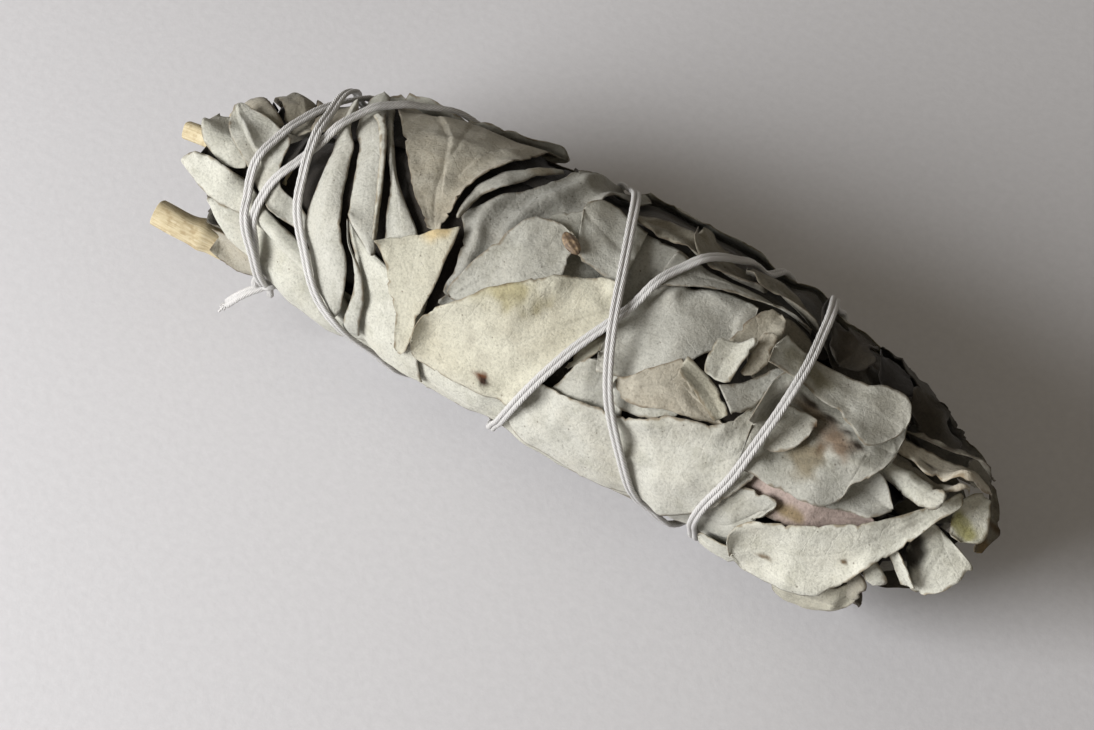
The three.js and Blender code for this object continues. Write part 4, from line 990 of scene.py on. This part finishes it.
    "leaf_broken_tip": dict(finish="oliveSage", wave=0.2, liftA=0.25, liftB=0.2, ragged=0.16, tornStart=0.2,
        tornEnd=0.2, roundStart=0, roundEnd=0, edges=[
        (20.3, 28.6, 20.4, 24), (21.2, 31, 22.4, 25.4), (22.8, 33.6, 24.3, 27.6), (24.6, 36.4, 25.9, 30.4),
        (26.2, 39, 27.5, 34.8)]),
    "leaf_broken_grey": dict(finish="greySage", liftB=0.2, tornA=0.15, tornB=0.15, roundStart=0,
        roundEnd=0.3, rise=[0.1, 0.2, 0.3, 0.4], edges=[
        (24.8, 26.8, 28, 34.6), (26, 24.2, 29, 30), (27.4, 19.8, 29.8, 24), (28.8, 13.6, 30.6, 16),
        (30.2, 8.4, 31.6, 10.6), (31.8, 5.6, 32.6, 7.4)]),
    "leaf_broken_curl": dict(finish="tanSage", wave=0.25, swell=0.15, ragged=0.12, tornA=0.12, tornB=0.1,
        roundStart=0.2, roundEnd=0.3, rise=[0.1, 0.2, 0.4, 0.6, 0.6], edges=[
        (23.2, 11, 27.4, 10), (23.8, 5.6, 28.4, 6), (24.4, -1, 28.6, 1), (25, -6, 28.3, -4),
        (26, -10.6, 27.6, -9)]),
    "leaf_broken_leg": dict(finish="warmSage", wave=0.2, swell=0.2, midrib=0, roundStart=0.3, roundEnd=0.2,
        rise=[0.1, 0.2, 0.1], edges=[
        (26.6, 2, 28.4, 1), (26.6, 7, 28.6, 7), (26.6, 13, 28.6, 12), (26.5, 20, 27.6, 19)]),
    "leaf_broken_flap": dict(finish="creamSage", wave=0.15, ragged=0.08, tornStart=0.12, tornEnd=0.2,
        roundStart=0, roundEnd=0, rise=[0.5, 0.4, 0.3], edges=[
        (22.6, 12.4, 27, 7.4), (22.4, 16.6, 26.6, 13.6), (22.4, 21, 26.1, 20), (23, 25, 26, 26)]),
    "leaf_curled_strip": dict(finish="greySage", wave=0.15, swell=0.4, bridge=4.5, ease=90, roundStart=0.8,
        roundEnd=0.6, edges=[
        (12.4, -12, 12.8, 6), (14.8, -12.6, 15.4, 2), (17.4, -13, 18, -2.6), (20.2, -13.4, 20.8, -7.4),
        (23.4, -15.4, 24, -11), (26.6, -17.4, 27, -13.8), (30.4, -18, 30.4, -15)]),
    "leaf_strip_far_1": dict(finish="brownSage", tone=1.15, wave=0.5, furrow=0.2, tornA=0.4, tornEnd=0.5,
        edges=[
        (4, -30, 5.6, -15), (7.6, -32, 8.6, -15), (11, -31, 11.6, -14.6), (15, -27, 15.4, -13)]),
    "leaf_strip_far_2": dict(finish="brownSage", tone=1.05, wave=0.6, furrow=0.2, tornA=0.4, tornB=0.2,
        tornEnd=0.5, edges=[
        (13, -34, 13.4, -14), (16, -33, 16.4, -12.6), (20, -31, 20.4, -13), (23, -27, 23.4, -15)]),
    "leaf_strip_far_3": dict(finish="brownSage", tone=0.85, wave=0.6, furrow=0.2, tornA=0.5, tornB=0.2,
        tornEnd=0.4, edges=[
        (20, -35, 20.4, -16), (24, -34, 24.4, -16.4), (28, -30, 28.4, -18), (32, -24, 32, -18)]),
})

# Tip end
layLeaves(looseLook, {
    # the dark-finished far leaves carry painted shade in their finish
    "leaf_far_crumpled": dict(finish="darkSageWithPaintedShade", wave=0.9, waveSize=3, crease=0.8, nick=0.9, tornA=0.9,
        tornB=0.6, tornEnd=0.6, line=[
        (30, -34, 10), (36, -33, 13), (42, -32, 11), (47, -32, 6)]),
    "leaf_far_tip": dict(finish="darkSageWithPaintedShade", wave=0.8, waveSize=3, crease=0.6, nick=0.9, tornA=0.8,
        tornB=0.6, line=[
        (37, -70, 7), (42, -62, 10), (46.4, -56, 9), (50.2, -50, 5)]),
    "leaf_far_bits_1": dict(finish="darkSageWithPaintedShade", wave=0.6, cell=0.3, ragged=0.3, nick=0.9, tornA=0.9,
        tornEnd=0.8, rise=[0, 0.4, 0.6, 0.8], edges=[
        (32, -12, 38, -9), (33, -19, 38.6, -17), (34, -27, 38, -26), (36, -34, 38, -34)]),
    # a nearly black piece among the far bits: painted shade
    "leaf_far_bits_2": dict(finish="innerPaintedShade", wave=0.6, ragged=0.3, nick=0.9, tornA=0.9, tornEnd=0.8,
        rise=[0, 0.3, 0.5, 0.6], edges=[
        (38.6, -14, 43, -14), (38.8, -22, 43.6, -22), (39.6, -30, 43, -31), (41, -37, 42.4, -38)]),
    "leaf_far_ragged": dict(finish="darkSageWithPaintedShade", wave=0.5, ragged=0.3, nick=0.8, tornA=0.6, tornEnd=0.7,
        rise=[0, 0.1, 0.2, 0.3], edges=[
        (42.4, -14, 50, -10), (43.4, -20, 51.4, -17), (44.4, -27, 51.6, -25), (45.6, -33, 50.8, -33)]),
    "leaf_rolled_between": dict(finish="warmSage", swell=0.7, tornA=0.2, rise=[0, 0, 0.2, 0.5, 0.9], edges=[
        (41, 7, 41, 19), (46, 7.6, 46, 18), (49, 8, 49.4, 16.6), (52, 7, 52.4, 15), (54.8, 3, 54.6, 10)]),
    "leaf_rolled_2": dict(finish="creamSage", swell=1.2, tornA=0.12, roundEnd=1.0, rise=[0.2, 0.2, 0.3, 0.5,
        0.8], edges=[
        (41, 13, 41, 27), (46, 16, 46, 25.6), (48.4, 13.6, 48.2, 27), (51, 15.2, 50.8, 28),
        (53.2, 17.4, 52.8, 25)]),
    "leaf_rolled_1": dict(finish="warmSage", tone=1.1, swell=0.5, tornB=0.3, rise=[0.4, 0.6, 0.8, 1.2, 1.8],
        stainsAndShade=[(49.4, 7, 1.2, 1.4, "#2C2419")], edges=[
        (41, -3, 41, 9), (45.8, 0, 46.4, 10.4), (49, -3, 50, 13), (52.6, -7.4, 53.4, 12),
        (56.6, -14, 57, 1)]),
    "leaf_rolled_rim": dict(finish="brownSage", tone=0.8, wave=0.2, swell=0.2, tornA=0.2, rise=[0.2, 0.6,
        0.8, 1.4, 2], edges=[
        (44.6, -1.4, 45, 0.4), (48, -5, 48.6, -3), (51.4, -9.6, 52, -7.4), (54.4, -15, 55, -12),
        (56, -22, 56.6, -15)]),
    "leaf_under_notch": dict(finish="greySage", roundStart=0.6, edges=[
        (39, 24, 39, 50), (42, 24, 42, 50), (45, 24.4, 44.4, 47), (46.8, 28.6, 46.4, 44),
        (48.3, 34, 48.1, 39)]),
    # the four dark #3F362D spots along the crease line are painted shade, a shadow line beside the creased
    # leaf's edge
    "leaf_wavy": dict(wave=0.45, waveSize=7, liftA=0.2, liftB=0.3, ragged=0.14, tornA=0.12, tornEnd=0.2,
        roundStart=0.6, roundEnd=0.4, rise=[0, 0, 0.1, 0.2, 0.3, 0.4, 0.5], stainsAndShade=[(39, 23, 3, 8, "#7C6C60"),
        (37.4, 35, 2.6, 8, "#8A8274"), (35.4, 16, 3.4, 3, "#7A6E62"), (34.6, 12.6, 1.6, 1.4, "#3F362D"),
        (37.4, 14.6, 1.6, 1.6, "#3F362D"), (40, 17.2, 1.4, 1.8, "#3F362D"),
        (41.8, 19.8, 0.9, 1.6, "#3F362D")], folds=[dict(line=[(33, 46), (37, 37), (41, 29), (44, 20)],
        high=-0.6, reach=4)], edges=[
        (30, 16, 30.4, 52), (32, 4, 32.6, 51.6), (34.6, 1, 35.4, 51.8), (37.4, 0, 38.6, 51),
        (40.4, -4, 41.4, 48.6), (42.8, -7, 42.7, 43), (44.4, -5, 43, 36), (45.4, -1, 44.4, 30),
        (45.9, 6, 45.6, 22)]),
    "leaf_creased": dict(midrib=0, liftB=0.35, tornB=0.08, roundStart=0.3, roundEnd=0.8, rise=[0, 0.1, 0.3,
        0.4, 0.3], stainsAndShade=[(33, 4, 4, 5, "#858277")], edges=[
        (28.8, 0, 28.6, 12.6), (31.6, -1, 31.6, 11), (34, -2.6, 34.2, 11.6), (37, -4.2, 37.2, 13.2),
        (39.4, -6.6, 40, 15.6), (41.4, -9.6, 41.6, 18.8), (43.2, -10, 43, 18.4), (44.8, -7, 44.2, 14),
        (45.6, -1, 45.2, 8)]),
    "leaf_wavy_lobe": dict(midrib=0, tornA=0.1, tornEnd=0.3, roundStart=0.2, roundEnd=0.3,
        stainsAndShade=[(36.6, 22, 0.6, 3.4, "#5A4836")], edges=[
        (31.8, 20.6, 32.2, 40), (33.4, 19.6, 34, 39), (35, 18.8, 35.6, 34.6), (36.4, 19.4, 36.8, 26)]),
    # the dark #211D16 patch down this leaf's left half is painted shadow, cast by the rolled leaf above it
    "leaf_torn_flat": dict(finish="creamSage", tone=1.15, wave=0.25, ragged=0.12, tornB=0.2, tornEnd=0.3,
        roundStart=0.5, roundEnd=0.3, stainsAndShade=[(51.9, 56, 1.4, 24, "#211D16")], edges=[
        (51.4, 30, 10.4, 55.4, 36, 9.4), (51.2, 40, 10.6, 58.3, 43, 8.4), (51.2, 50, 10.4, 58.3, 50, 8.8),
        (51.4, 58, 10.4, 57.6, 60, 9.4), (52.4, 68, 10.4, 56.4, 70, 9.8),
        (53.8, 80, 10.4, 54.8, 80, 10.2)]),
    "leaf_curled_rim": dict(finish="creamSage", tone=1.2, wave=0.1, midrib=0, ragged=0.08, nick=0.1,
        roundStart=0.4, roundEnd=0.4, edges=[
        (48.4, 54, 12.2, 50.4, 54, 12.4), (49.8, 60, 11.9, 51.6, 58, 12.3),
        (51, 67, 11.5, 52.8, 64.4, 11.9), (52.4, 76.4, 10.9, 54, 74, 11.2)]),
    "leaf_tip_curl": dict(finish="brownSage", tone=0.8, tornA=0.2, tornB=0.3, roundStart=0.4, roundEnd=0.4,
        stainsAndShade=[(58.6, 26, 1.5, 9, "#937F5A"), (59, 8, 1.2, 4, "#7D6B54")], edges=[
        (55.6, -17, 9.8, 56.4, -16, 9.4), (56.2, -10, 9.4, 57.6, -9, 8.8), (56.8, -2, 9, 58.5, -1, 8.2),
        (57.5, 6, 8.8, 59.3, 6, 7.8), (58, 13, 8.6, 59.6, 13, 7.6), (58, 22, 8.8, 59.4, 22, 7.8),
        (57.6, 33, 9.2, 58.7, 34, 8.6)]),
    "leaf_tip_face": dict(finish="creamSage", tone=1.2, wave=0.2, nick=0.6, tornB=0.2, tornEnd=0.5,
        roundStart=0.4, roundEnd=0.2, stainsAndShade=[(56, 23, 2.6, 8, "#8C8A66")], edges=[
        (55.4, 0, 10.2, 56.8, -5, 9.4), (54.4, 8, 10, 57.6, 4, 9), (54.1, 16, 9.8, 58.2, 14, 8.8),
        (54.2, 24, 9.8, 58.2, 24, 8.8), (54.9, 32, 9.9, 57.8, 31, 9.2)]),
    "leaf_far_spike": dict(finish="brownSage", tone=0.8, tornA=0.15, roundStart=0.3, roundEnd=0.5, edges=[
        (52.2, -6, 10.4, 55.8, -8, 9), (52.6, -17, 10.2, 55.9, -18, 8.7), (53, -26, 9.9, 55.7, -27, 8.6),
        (53.7, -33, 9.6, 55, -34, 9)]),
})
print("stage: near side, top and tip laid")

# Far side and underneath
dryLook = {
    "wave": 0.65, "crease": 0.3, "furrow": 0.12, "ragged": 0.2, "nick": 0.8, "midrib": 0.22, "liftA": 0.3,
    "liftB": 0.3}
layLeaves(dryLook, {
    "leaf_far_broad": dict(finish="greySage", tornB=0.2, line=[
        (-36, -122, 6), (-22, -118, 15), (-6, -120, 17), (10, -124, 12), (20, -128, 4)]),
    "leaf_far_long": dict(tornA=0.25, tornEnd=0.4, line=[
        (-8, -84, 5), (6, -86, 15), (20, -90, 16), (33, -92, 10), (43, -92, 4)]),
    "leaf_far_stem_end": dict(tornStart=0.4, line=[
        (-45, -132, 4), (-38, -104, 9), (-30, -84, 10), (-20, -76, 9), (-10, -74, 4)]),
    "leaf_under_far": dict(finish="oliveSage", tornA=0.2, line=[
        (-34, -152, 4), (-22, -154, 10), (-8, -150, 12), (8, -146, 11), (22, -142, 4)]),
})
layLeaves({}, {
    "leaf_under_stem_end": dict(finish="greySage", under=True, line=[
        (-42, 164, 4), (-33, 166, 12), (-22, 172, 17), (-12, 176, 14), (-5, 178, 4)]),
    "leaf_under_middle": dict(under=True, line=[
        (-2, 196, 4), (7, 192, 15), (18, 186, 18), (32, 182, 14), (45, 178, 4)]),
})
print("stage: far side and underneath laid")

# Bud: a dry brown husk caught in the leaves
budHusk, tree, shader, flat, spot = newMaterial("dryBudHusk")  # papery calyx: rust brown, a little shiny
huskNoise = addNode(tree, "TexNoise", {"Vector": spot, "Scale": 1.6, "Detail": 4.0})
huskTone = addNode(tree, "ValToRGB", {"Fac": huskNoise}, [
    (0.35, "#4A3A2A"), (0.52, "#746049"), (0.7, "#9C8769")])
huskBump = addNode(tree, "Bump", {"Height": huskNoise, "Strength": 0.5, "Distance": 0.0001})
setInputs(tree, shader, {"Base Color": huskTone, "Normal": huskBump, "Roughness": 0.6})

bud = {"x": 2.0, "angle": 6.5, "half": 1.4, "wide": 0.75, "deep": 0.6, "rings": 40, "sides": 24}


def layBud():
    base = sample(core, bud["x"], bud["angle"]) + sample(widen(cover, 1.2), bud["x"], bud["angle"]) + 0.55
    t = np.linspace(0, 1, bud["rings"])
    path = place(bud["x"] + (2 * t - 1) * bud["half"], bud["angle"] + (2 * t - 1) * 2.4, base + 0 * t)
    turn = np.linspace(0, 2 * np.pi, bud["sides"], endpoint=False)[None, :]
    grow = np.sqrt(np.clip(1 - (2 * t - 1) ** 2, 0.01, 1))[:, None] * (1 + 0.16 * np.cos(turn * 6))
    rings = ringsAlong(path, radialOf(path), ringOffsets(turn, grow * bud["wide"], grow * bud["deep"]))
    markCover(rings)
    flatMap = ringMap(np.linspace(0, 5, bud["sides"] + 1), (t * 3.2)[:, None])
    tubeObject("bud_dry", rings, flatMap, budHusk)


layBud()

# Twine: two plied cotton strands side by side, white, each with slanting yarns
cottonTwine, tree, shader, flat, spot = newMaterial("cottonTwine")  # soft spun cotton: matt white, fine fuzz
split = addNode(tree, "SeparateXYZ", {"Vector": flat})
lean = addNode(tree, "Math", {0: split.outputs["X"], 1: 1.3, 2: split.outputs["Y"]}, operation="MULTIPLY_ADD")
halfYarn = 0.0024  # in the flat map: yarns 0.48 mm apart
yarn = addNode(tree, "Math", {0: lean, 1: halfYarn}, operation="PINGPONG")
yarnShare = addNode(tree, "Math", {0: yarn, 1: halfYarn}, operation="DIVIDE")
# the yarn colour darkens towards the grooves between yarns: painted shade in the grooves
yarnGrooveShade = addNode(tree, "ValToRGB", {"Fac": yarnShare}, [
    (0.0, "#B0ADA9"), (0.4, "#D5D3D1"), (1.0, "#DEDDDC")])
fuzz = addNode(tree, "TexNoise", {"Vector": spot, "Scale": 3.0, "Detail": 4.0, "Roughness": 0.7})
fuzzTone = addNode(tree, "MapRange", {
    "Value": fuzz, "From Min": 0.3, "From Max": 0.6, "To Min": 0.82, "To Max": 1.0})
cotton = addNode(tree, "Mix", {0: 1.0, 6: yarnGrooveShade, 7: fuzzTone}, data_type="RGBA", blend_type="MULTIPLY")
yarnBump = addNode(tree, "Bump", {"Height": yarnShare, "Strength": 0.8, "Distance": 0.0001})
fuzzBump = addNode(tree, "Bump", {"Height": fuzz, "Normal": yarnBump, "Strength": 0.3, "Distance": 0.0001})
setInputs(tree, shader, {
    "Base Color": cotton.outputs[2], "Normal": fuzzBump, "Roughness": 0.85, "Sheen Weight": 0.2})

twine = {
    "strand": 0.31, "apart": 0.29, "ply": 1.2, "plyDepth": 0.02, "sides": 24,
    "step": 0.26, "reach": 2.6, "ease": 120,  # how tight it is drawn over the leaves
}


def layTwine(name, path, outward, strand, apart):
    turn = np.linspace(0, 2 * np.pi, twine["sides"], endpoint=False)[None, :]
    along = lengthsOf(path)[:, None]
    lobe = apart * np.abs(np.cos(turn)) + np.sqrt(strand ** 2 - (apart * np.sin(turn)) ** 2)
    side = np.where(np.cos(turn) >= 0, 1, -1)
    lobe = lobe + twine["plyDepth"] * np.cos(2 * np.pi * along / twine["ply"] + side * 3.2 * np.sin(turn))
    rings = ringsAlong(path, outward, ringOffsets(turn, lobe, lobe))
    rings[..., 2] = np.maximum(rings[..., 2], 0.15)
    tubeObject(name, rings, ringMap(np.linspace(0, 5, twine["sides"] + 1), along), cottonTwine)
    return rings


def evenSteps(path, step):
    reach = lengthsOf(path)
    spots = np.linspace(0, reach[-1], max(8, int(reach[-1] / step)))
    return np.stack([np.interp(spots, reach, path[:, k]) for k in range(3)], -1)


for name, route in twineRoutes.items():
    path = laidPath(route, steps=40 * len(route), half=twine["strand"],
                    reach=twine["reach"], ease=twine["ease"])
    path = evenSteps(path, twine["step"])
    markCover(layTwine(name, path, radialOf(path), twine["strand"], twine["apart"]))

knot = {"spot": (-35.8, -12.7, 12.6), "size": 1.3, "strand": 0.34, "apart": 0.1, "step": 0.2}
tail = {"run": (-5.0, -2.2, -4.4), "strand": 0.38, "apart": 0.24, "yarns": 7, "yarn": 0.21}


def layKnot():
    centre = np.array(knot["spot"])
    up = radialOf(centre[None, :])[0]
    along = np.array([1.0, 0, 0])
    side = np.cross(up, along)
    t = np.linspace(0.3, 0.3 + math.pi * 1.8, 200)[:, None]
    path = (centre + along * knot["size"] * (np.sin(t) + 1.45 * np.sin(2 * t)) * 0.5
            + side * knot["size"] * (np.cos(t) - 1.45 * np.cos(2 * t)) * 0.56 - up * np.sin(3 * t) * 0.7)
    path = evenSteps(path, knot["step"])
    layTwine("twine_knot", path, np.repeat(up[None, :], len(path), 0), knot["strand"], knot["apart"])
    t = np.linspace(0, 1, 40)[:, None]
    path = centre + np.array(tail["run"]) * t + np.array([0, -0.5, 0.9]) * np.sin(t * math.pi)
    path = evenSteps(path, knot["step"])
    outward = np.repeat(np.array([[0, -0.45, 0.9]]), len(path), 0)
    layTwine("twine_tail", path, outward, tail["strand"], tail["apart"])
    random = np.random.RandomState(5)
    ahead = (path[-1] - path[-2]) / np.linalg.norm(path[-1] - path[-2])
    turn = np.linspace(0, 2 * np.pi, 10, endpoint=False)[None, :]
    t = np.linspace(0, 1, 16)[:, None]
    for k in range(tail["yarns"]):  # the cut end untwists into loose yarns
        spread = random.uniform(-1, 1, 3)
        reach = random.uniform(1.2, 2.2)
        yarn = path[-1] - ahead * 0.3 + ahead * reach * t
        yarn = yarn + spread * 0.75 * t ** 2 + spread[::-1] * 0.12 * np.sin(t * 5)
        thin = tail["yarn"] * (1 - 0.4 * t) + 0 * turn
        rings = ringsAlong(yarn, outward[:16], ringOffsets(turn, thin, thin))
        flatMap = ringMap(np.linspace(0, 1, 11), t * reach)
        tubeObject(f"twine_yarn_{k + 1}", rings, flatMap, cottonTwine)


layKnot()
print("stage: twine tied")

settleOutline()
print("stage: outline settled")

# Floor, light and camera
floorCard, tree, shader, flat, spot = newMaterial("mattCard")  # heavy uncoated paper: smooth, faint tooth
tooth = addNode(tree, "TexNoise", {"Vector": spot, "Scale": 0.9, "Detail": 5.0, "Roughness": 0.6})
cardTone = addNode(tree, "ValToRGB", {"Fac": tooth}, [(0.3, "#CFCED1"), (0.7, "#D5D4D7")])
cardBump = addNode(tree, "Bump", {"Height": tooth, "Strength": 0.15, "Distance": 0.0002})
setInputs(tree, shader, {
    "Base Color": cardTone, "Normal": cardBump, "Roughness": 0.95, "Specular IOR Level": 0.2})

work = bmesh.new()
bmesh.ops.create_grid(work, x_segments=2, y_segments=2, size=1.6)
floorMesh = bpy.data.meshes.new("studioFloor")
work.to_mesh(floorMesh)
work.free()
floorMesh.materials.append(floorCard)
studioFloor = bpy.data.objects.new("studioFloor", floorMesh)
bpy.context.scene.collection.objects.link(studioFloor)

world = bpy.data.worlds.new("studio")
bpy.context.scene.world = world
world.use_nodes = True
tree = world.node_tree
tree.nodes.clear()
rays = addNode(tree, "LightPath").outputs
mirrored = addNode(tree, "Math", {
    0: rays["Is Glossy Ray"], 1: rays["Is Transmission Ray"]}, operation="MAXIMUM")
seen = addNode(tree, "Math", {0: rays["Is Camera Ray"], 1: mirrored}, operation="MAXIMUM")
ambient = addNode(tree, "Background", {"Color": "#F4E9D6", "Strength": 0.21})
backdrop = addNode(tree, "Background", {"Color": "#CFCFD1", "Strength": 1.0})
both = addNode(tree, "MixShader", {0: seen, 1: ambient, 2: backdrop})
addNode(tree, "OutputWorld", {"Surface": both})
windowKey = {"spot": (-0.285, -0.335, 0.235), "target": (0, 0, 0.01), "size": 0.28, "watts": 3.75}


def setLight():
    data = bpy.data.lights.new("windowKey", "AREA")
    data.energy, data.size = windowKey["watts"], windowKey["size"]
    light = bpy.data.objects.new("windowKey", data)
    light.location = windowKey["spot"]
    light.rotation_euler = (Vector(windowKey["target"]) - light.location).to_track_quat("-Z", "Y").to_euler()
    bpy.context.scene.collection.objects.link(light)


view = {  # degrees and mm; the picture is centred this far left of and below what it looks at
    "turn": 31.0, "lift": 57.5, "away": 300.0, "lens": 80.0, "sensor": 36.0, "look": (2.0, 0.0, 14.0),
    "left": 3.95, "down": 3.83}


def setCamera():
    a, e = math.radians(view["turn"]), math.radians(view["lift"])
    back = Vector((math.sin(a) * math.cos(e), -math.cos(a) * math.cos(e), math.sin(e)))
    right = Vector((math.cos(a), math.sin(a), 0))
    up = back.cross(right)
    target = Vector(view["look"]) + Vector(frameShift) - right * view["left"] - up * view["down"]
    data = bpy.data.cameras.new("camera")
    data.lens, data.sensor_width, data.clip_start = view["lens"], view["sensor"], 0.01
    camera = bpy.data.objects.new("camera", data)
    turned = Matrix((right, up, back)).transposed().to_4x4()
    camera.matrix_world = Matrix.Translation((target + back * view["away"]) * mm) @ turned
    bpy.context.scene.collection.objects.link(camera)
    bpy.context.scene.camera = camera


setLight()
setCamera()
bpy.context.scene.view_settings.view_transform = "Standard"
print("stage: floor, light and camera set")
